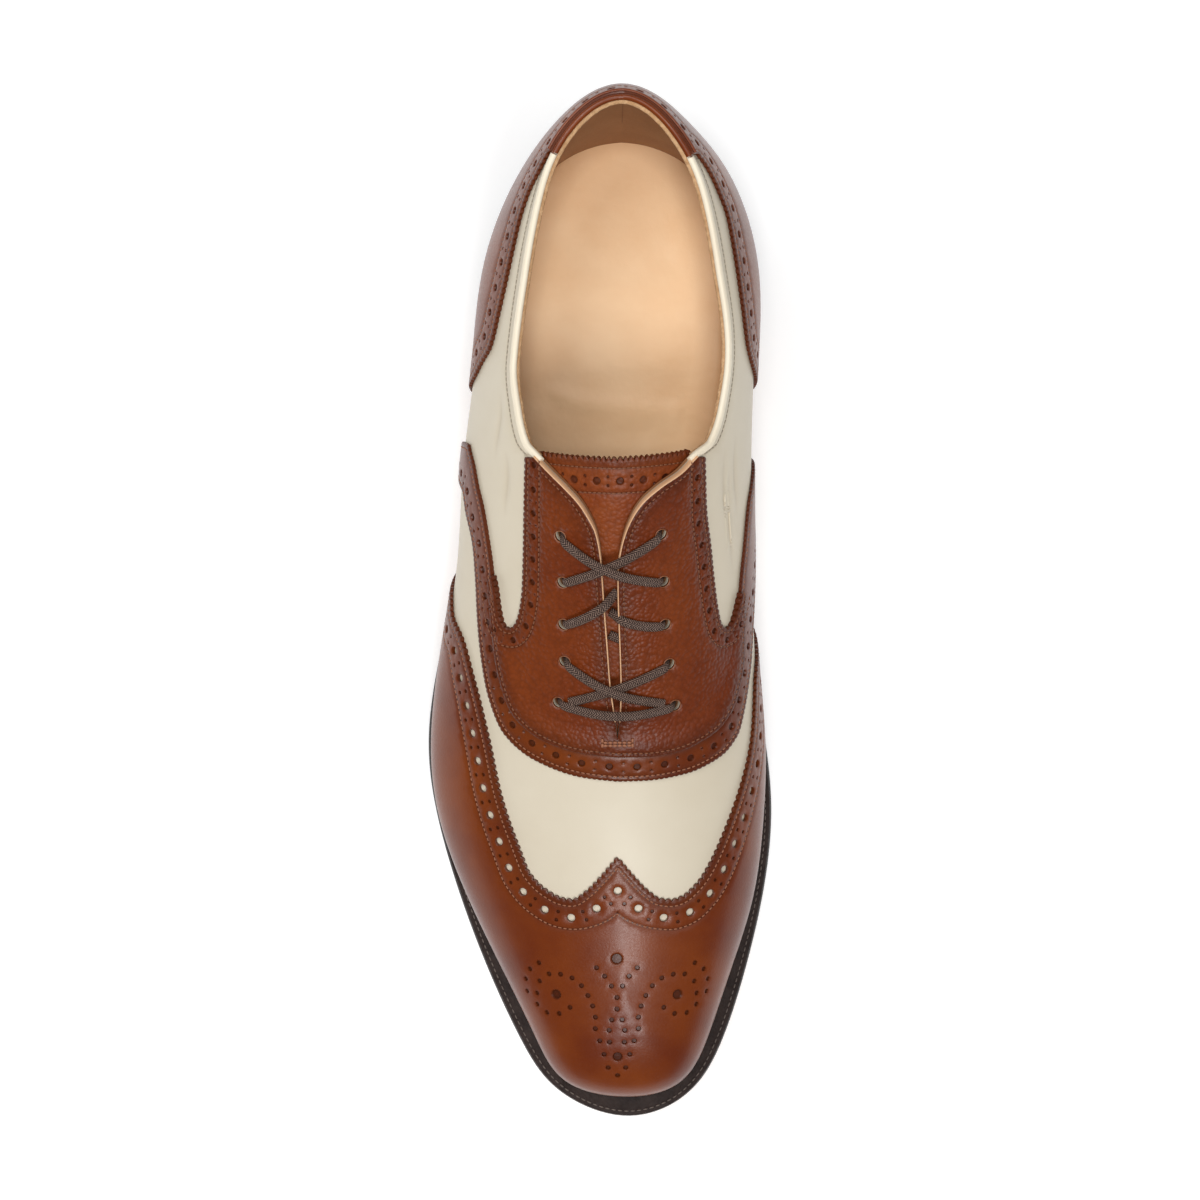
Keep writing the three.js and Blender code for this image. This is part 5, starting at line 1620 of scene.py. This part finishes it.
@dataclass
class Lacing:
    """The flat lace: five crossings over the throat, each run ending down through its eyelet."""

    shop: Workshop
    width: float = 2.8
    thickness: float = 1.4
    over: float = 1.35
    rim: float = 1.72
    set_back: float = 0.9

    def strap(self, name: str, start: np.ndarray, end: np.ndarray, hump: float, node: str,
              sag: float = 0.0, dives: bool = False, tucked: bool = False) -> None:
        """One run of lace over the facings.

        Args:
            name: The piece's name.
            start: Flat place of the eyelet it comes out of.
            end: Flat place of the eyelet, or of the point in the gap, where it goes down.
            hump: How far its middle rises to pass over another run.
            node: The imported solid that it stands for.
            sag: How far its middle hangs towards the toe.
            dives: Whether it goes down into the gap between the facings.
            tucked: Whether its end lies tucked under the bar.
        """
        last = self.shop.last
        t = np.linspace(0, 1, 72)
        bow = np.sin(np.pi * t)
        way = (end - start) / np.linalg.norm(end - start)
        start = start - way * self.set_back
        if not dives:
            end = end + way * self.set_back * (0 if tucked else 1)
        flat = start + (end - start) * t[:, None] + np.array([0.0, -sag]) * bow[:, None]
        length = np.linalg.norm(end - start)
        reach = t * length
        ease = smoothstep(0, 2.0, reach)
        if not dives and not tucked:
            ease = ease * smoothstep(0, 2.0, length - reach)
        floor = 1.3 + self.thickness / 2
        lift = floor * ease + hump * bow**2 - 2.0 * (1 - ease)
        if dives:
            lift -= 3.6 * smoothstep(0.74, 1.0, t)
        c, v = last.locate(flat)
        path = last.skin(c, v, lift)
        for _ in range(6):
            path[1:-1] = (path[:-2] + 2 * path[1:-1] + path[2:]) / 4
        normal = last.normal(c, v)
        narrow = 0.72 + 0.28 * smoothstep(0, 4.5, reach) * (
            1 if dives or tucked else smoothstep(0, 4.5, length - reach))
        lace = sweep(name, path, normal, oval(self.width, self.thickness, 16, 0.8),
                     self.shop.finish.lace_cotton, narrow)
        settle(lace, "lace_cotton", node)

    def build(self) -> None:
        """Lays every run."""
        places = eyelet_places(self.shop)
        left, right = places[:5], places[5:]
        gap = (left[2] + right[2]) / 2
        self.strap("lace_run_1_under", right[0], left[1], 0.0, "lace_top_cross", 1.9)
        self.strap("lace_run_1_over", left[0], right[1], self.over, "lace_top_cross", 3.0)
        self.strap("lace_run_2_under", right[2], gap + np.array([-1.2, 2.6]), 0.1,
                   "lace_middle_cross", 1.2, True)
        self.strap("lace_run_2_over", left[2], gap + np.array([0.9, 8.4]), self.over,
                   "lace_middle_cross", 1.0, True)
        self.strap("lace_run_3_under", right[3], left[4] + np.array([3.6, 0.5]), 0.0,
                   "lace_lower_cross", 1.2, tucked=True)
        self.strap("lace_run_3_over", left[3], right[4] + np.array([-3.6, 0.9]), self.over * 0.8,
                   "lace_lower_cross", 2.4, tucked=True)
        self.strap("lace_bar", left[4], right[4], self.over + 0.7, "lace_lower_cross", 2.2)
        knot = (left[3] * 0.42 + right[3] * 0.58 + (left[2] + right[2]) / 2 * 1.1) / 2.1
        last = self.shop.last
        across = knot + np.stack([np.linspace(-3, 3, 12), np.linspace(1.2, -1.2, 12)], axis=1)
        c, v = last.locate(across)
        piece = sweep("lace_run_in_gap", last.skin(c, v, -1.9), last.normal(c, v),
                      oval(self.width, self.thickness, 16, 0.8), self.shop.finish.lace_cotton)
        settle(piece, "lace_cotton", "lace_middle_cross")
        for i, (place, ring) in enumerate(zip(places, self.shop.pattern.rings(places, 28))):
            c, v = last.locate(place + ring * self.rim)
            rim = sweep(f"eyelet_rim_{i + 1}", last.skin(c, v, 1.12), last.normal(c, v),
                        oval(0.26, 0.4, 8, 1.0), self.shop.finish.eyelet_calf, closed=True)
            settle(rim, "brown_calf")


@dataclass
class SoleUnit:
    """Welt, outsole and insole: plates that follow the feather edge all round."""

    shop: Workshop
    welt_step: float = 0.7
    insole_thickness: float = 4.0
    samples: int = 400

    WRINKLES = (((-17.4, -6.6, 8.4, 23.0), (68.3, 63.8, 62.6, 61.1), 0.8, 1.9),
                ((-3.0, 10.0, 23.0), (60.0, 58.6, 57.2), 0.5, 1.5))

    def plate(self, name: str, profile: Callable[[np.ndarray], list[tuple[np.ndarray, np.ndarray]]],
              finishes: Sequence[bpy.types.Material], ring: bool = False,
              columns: int = 1) -> bpy.types.Object:
        """A closed plate or ring from its edge profile.

        Args:
            name: The piece's name.
            profile: Gives, for loop places, the profile's points as (outward, height), from the
                top of the edge down.
            finishes: Materials of the edge, and of the underside where there are two.
            ring: Whether the profile closes on itself, with no plate inside.
            columns: How many faces lie across the top. With more than one it is wrinkled.

        Returns:
            The piece.
        """
        last, count = self.shop.last, self.samples
        half = (1 - np.cos(np.pi * np.linspace(0, 1, count // 2 + 1))) / 2 * 0.35
        half = half + np.linspace(0, 1, count // 2 + 1) * 0.65
        rows = half / half[-1] * TOE
        c = np.concatenate([rows, LOOP - rows[-2:0:-1]])
        lines = []
        for outward, height in profile(c):
            points = last.outline(c, outward)
            points[:, 2] = height
            lines.append(points)
        size = len(c)
        faces, bottom = [], []
        depth = len(lines)
        for k in range(depth if ring else depth - 1):
            a, b = k * size, ((k + 1) % depth) * size
            for i in range(size):
                j = (i + 1) % size
                faces.append([a + i, b + i, b + j, a + j])
        if not ring:
            last_line = (depth - 1) * size
            rows_across = [[i, (size - i) % size] for i in range(size // 2 + 1)]
            if columns > 1:
                t = np.linspace(0, 1, columns + 1)[1:-1, None]
                for i in range(1, size // 2):
                    start, end = lines[0][i], lines[0][size - i]
                    between = start + (end - start) * t
                    between[:, 2] += self.wrinkles(between)
                    first = sum(len(line) for line in lines)
                    rows_across[i][1:1] = range(first, first + columns - 1)
                    lines.append(between)
            for i, (here, there) in enumerate(zip(rows_across, rows_across[1:])):
                quad = list(dict.fromkeys([here[0], there[0], there[-1], here[-1]]))
                bottom.append(len(faces))
                faces.append([last_line + q for q in reversed(quad)])
                if i == 0:
                    faces += [[here[0], a, b] for a, b in zip(there, there[1:])]
                elif i == size // 2 - 1:
                    faces += [[a, there[0], b] for a, b in zip(here, here[1:])]
                else:
                    faces += [[a, c, d, b] for a, b, c, d in
                              zip(here, here[1:], there, there[1:])]
        piece = mesh_object(name, np.concatenate(lines), faces, 35)
        for finish in finishes:
            piece.data.materials.append(finish)
        if len(finishes) > 1:
            for i in bottom:
                piece.data.polygons[i].material_index = 1
        return piece

    def wrinkles(self, points: np.ndarray) -> np.ndarray:
        """Two soft wrinkles across the insole, where the foot bends it."""
        lift = np.zeros(len(points))
        for xs, ys, height, width in self.WRINKLES:
            off = points[:, 1] - np.interp(points[:, 0], xs, ys)
            fade = smoothstep(xs[0] - 2, xs[0] + 6, points[:, 0])
            lift += height * fade * np.exp(-(off / width)**2)
        return lift

    def build(self) -> None:
        """Makes the welt with its stitches, the outsole and the insole."""
        shop, last = self.shop, self.shop.last
        welt_top = lambda c: last.feather(c)[:, 2] - last.gap
        welt_low = lambda c: welt_top(c) - last.welt
        sole_top = lambda c: welt_low(c) - last.gap
        inner = lambda c: -last.thickness(c, np.zeros(len(c)))

        def welt(c: np.ndarray) -> list[tuple[np.ndarray, np.ndarray]]:
            """The welt's profile, with the groove that the stitches lie in.

            Args:
                c: Loop places round the last.

            Returns:
                The reach and the height of each corner, from the inside top round to it again.
            """
            out, top, low = last.margin(c) - self.welt_step, welt_top(c), welt_low(c)
            return [(inner(c), top), (inner(c), low), (out - 0.4, low), (out, low + 0.4),
                    (out + 0.05, (top + low) / 2), (out, top - 0.4), (out - 0.15, top - 0.12),
                    (out - 0.45, top), (out - 0.75, top - 0.02), (out - 1.2, top - 0.16),
                    (out - 1.6, top - 0.16), (out - 2.1, top), (out * 0 + 0.2, top)][::-1]

        def outsole(c: np.ndarray) -> list[tuple[np.ndarray, np.ndarray]]:
            """The outsole's edge, from its top to its underside.

            Args:
                c: Loop places round the last.

            Returns:
                The reach and the height of each corner.
            """
            out, top = last.margin(c), sole_top(c)
            low = np.maximum(0.0, welt_low(c) - last.gap - last.sole)
            return [(out - 0.9, top + 0.0), (out - 0.35, top - 0.1), (out - 0.05, top - 0.5),
                    (out + 0.05, (top + low) / 2), (out - 0.05, low + 0.6), (out - 0.3, low + 0.15),
                    (out - 0.8, low)]

        def insole(c: np.ndarray) -> list[tuple[np.ndarray, np.ndarray]]:
            """The insole's edge, from its rounded top to its underside.

            Args:
                c: Loop places round the last.

            Returns:
                The reach and the height of each corner.
            """
            out, low = inner(c) - last.gap, sole_top(c) + last.gap
            top = low + self.insole_thickness
            return [(out - 9.0, top + 0.0), (out - 5.0, top + 0.02), (out - 2.0, top + 0.15),
                    (out - 0.7, top + 0.2), (out - 0.12, top - 0.1), (out, top - 0.7), (out, low)]

        ring = self.plate("welt_strip", welt, [shop.finish.welt_leather], ring=True)
        settle(ring, "welt_leather", "welt")
        sole = self.plate("outsole_leather", outsole, [shop.finish.sole_edge, shop.finish.sole_face])
        settle(sole, "sole_leather", "outsole")
        sock = self.plate("insole_sock", insole, [shop.finish.sock_leather], columns=24)
        # Painted shade: the edge values make the insole darker towards its rim, where the walls meet
        # it.
        rim = np.repeat([9.0, 5.0, 2.0, 0.7, 0.1, 0.0, 0.0], self.samples)
        paint(sock, "edge", np.pad(rim, (0, len(sock.data.vertices) - len(rim)),
                                   constant_values=9.0))
        settle(sock, "insole_leather", "insole")
        self.stitch_welt(welt_top)

    def stitch_welt(self, top: Callable[[np.ndarray], np.ndarray]) -> None:
        """The row of stitches in the welt's groove, from the heel round the toe and back."""
        last = self.shop.last
        c = np.linspace(3.4, LOOP - 3.4, 2600)
        path = last.outline(c, last.margin(c) - self.welt_step - 1.4)
        path[:, 2] = top(c) + 0.02
        steps = np.concatenate([[0], np.cumsum(np.linalg.norm(np.diff(path, axis=0), axis=1))])
        kind = Stitch(1.4, 0.55, 0.5)
        at = np.arange(0, steps[-1], kind.length + kind.gap)
        points = np.stack([np.interp(at, steps, path[:, i]) for i in range(3)], axis=1)
        along = unit(np.gradient(points, axis=0))
        normal = np.tile([0.0, 0.0, 1.0], (len(points), 1))
        laid, faces = self.shop.sewing.on_points(points, along, normal, kind)
        piece = mesh_object("welt_stitches", laid, faces, 80)
        piece.data.materials.append(self.shop.finish.welt_thread)
        settle(piece, "welt_leather", "welt")


@dataclass
class Heel:
    """The stacked heel: four leather lifts on a rubber top piece."""

    shop: Workshop
    lifts: int = 4
    top_piece: float = 6.0
    step: float = 0.35
    breast_row: float = 3.5
    hollow: float = 3.0
    gap: float = 0.3

    def outline(self, inset: float) -> np.ndarray:
        """The outline of a layer in plan, smaller all round by an inset."""
        last = self.shop.last
        c = np.linspace(-self.breast_row, self.breast_row, 120)
        round_heel = last.outline(c, last.margin(c) - inset)[:, :2]
        start, end = round_heel[-1], round_heel[0]
        middle = (start + end) / 2 + np.array([0.0, 2 * self.hollow])
        t = np.linspace(0, 1, 26)[1:-1, None]
        breast = (1 - t)**2 * start + 2 * (1 - t) * t * middle + t * t * end
        return np.concatenate([round_heel, breast])

    def layer(self, name: str, inset: float, low: float, high: float,
              finish: bpy.types.Material) -> bpy.types.Object:
        """One layer: a disc shaped to the outline, extruded and bevelled."""
        outline = self.outline(inset)
        bpy.ops.object.select_all(action="DESELECT")
        bpy.ops.mesh.primitive_circle_add(vertices=len(outline), radius=0.03, fill_type="NGON")
        obj = bpy.context.active_object
        obj.name = obj.data.name = name
        for vertex, (x, y) in zip(obj.data.vertices, outline):
            vertex.co = (x * MM, y * MM, low * MM)
        bpy.ops.object.mode_set(mode="EDIT")
        bpy.ops.mesh.select_all(action="SELECT")
        bpy.ops.mesh.extrude_region_move(
            TRANSFORM_OT_translate={"value": (0, 0, (high - low) * MM)})
        bpy.ops.mesh.select_all(action="SELECT")
        bpy.ops.mesh.normals_make_consistent(inside=False)
        bpy.ops.object.mode_set(mode="OBJECT")
        bevel = obj.modifiers.new("rim", "BEVEL")
        bevel.width, bevel.segments = 0.3 * MM, 2
        bevel.limit_method, bevel.angle_limit = "ANGLE", math.radians(50)
        bpy.ops.object.modifier_apply(modifier=bevel.name)
        bpy.ops.object.shade_smooth_by_angle(angle=math.radians(35))
        obj.data.materials.append(finish)
        return obj

    def build(self) -> None:
        """Makes every layer from the sole down."""
        last = self.shop.last
        row = np.array([self.breast_row])
        seat = float(last.feather(row)[0, 2]) - 3 * self.gap - last.welt - last.sole
        depth = (seat - self.top_piece) / self.lifts
        for i in range(self.lifts):
            low = seat - (i + 1) * depth
            piece = self.layer(f"heel_lift_leather_{i + 1}", i * self.step, low, low + depth,
                               self.shop.finish.sole_edge)
            settle(piece, "sole_leather", f"heel_lift_{i + 1}")
        piece = self.layer("heel_top_piece_rubber", self.lifts * self.step, 0.0, self.top_piece,
                           self.shop.finish.heel_rubber)
        settle(piece, "heel_rubber", "heel_top_piece")


@dataclass
class Studio:
    """A white floor lit through, soft lights and a camera straight above the shoe."""

    camera_height: float = 900.0
    camera_y: float = 4.68
    frame_px: float = 1200.0
    focal_px: float = 2894.0

    def area(self, name: str, place: tuple[float, float, float], size: float,
             power: float) -> None:
        """A square soft light aimed at the shoe."""
        data = bpy.data.lights.new(name, "AREA")
        data.shape, data.size, data.energy = "SQUARE", size, power
        light = bpy.data.objects.new(name, data)
        light.location = place
        aim = Vector((0, 0, 0.03)) - Vector(place)
        light.rotation_euler = aim.to_track_quat("-Z", "Y").to_euler()
        bpy.context.scene.collection.objects.link(light)

    def build(self) -> None:
        """Sets up floor, light and camera."""
        scene = bpy.context.scene
        bpy.ops.object.select_all(action="DESELECT")
        bpy.ops.mesh.primitive_plane_add(size=8.0, location=(0, 0, -0.0004))
        floor = bpy.context.active_object
        floor.name = "studio_floor"
        paper = bpy.data.materials.new("matt_paper")
        paper.use_nodes = True
        shader = paper.node_tree.nodes["Principled BSDF"]
        shader.inputs["Base Color"].default_value = hex_colour("#f4f4f4")
        shader.inputs["Roughness"].default_value = 0.9
        shader.inputs["Specular IOR Level"].default_value = 0.1
        shader.inputs["Emission Color"].default_value = (1, 1, 1, 1)
        shader.inputs["Emission Strength"].default_value = 0.28
        floor.data.materials.append(paper)
        world = scene.world or bpy.data.worlds.new("studio_world")
        scene.world = world
        world.use_nodes = True
        world.node_tree.nodes["Background"].inputs["Color"].default_value = (1, 1, 1, 1)
        world.node_tree.nodes["Background"].inputs["Strength"].default_value = 0.15
        self.area("key", (-0.6, 0.35, 1.3), 0.8, 9.0)
        self.area("fill", (0.75, -0.1, 1.25), 0.9, 2.6)
        self.area("front", (0.1, -0.62, 1.15), 0.34, 6.0)
        self.area("top", (0.0, 0.08, 1.5), 0.35, 6.0)
        data = bpy.data.cameras.new("camera")
        data.sensor_width = 36.0
        data.lens = 36.0 * self.focal_px / self.frame_px
        data.clip_start = 0.05
        camera = bpy.data.objects.new("camera", data)
        camera.location = (0.0, self.camera_y * MM, self.camera_height * MM)
        scene.collection.objects.link(camera)
        scene.camera = camera
        scene.view_settings.view_transform = "Standard"


def main() -> None:
    """Builds the studio and every sub-assembly of the shoe."""
    Studio().build()
    last = Last()
    pattern = Pattern(last)
    shop = Workshop(last, pattern, Sewing(pattern), Tannery())
    for assembly in (SoleUnit(shop), Heel(shop), Shell(shop), Counter(shop), Band(shop),
                     WingCap(shop), Tongue(shop), Facings(shop), Lacing(shop)):
        assembly.build()
        log.info("%s is done", type(assembly).__name__)


if __name__ == "__main__":
    main()
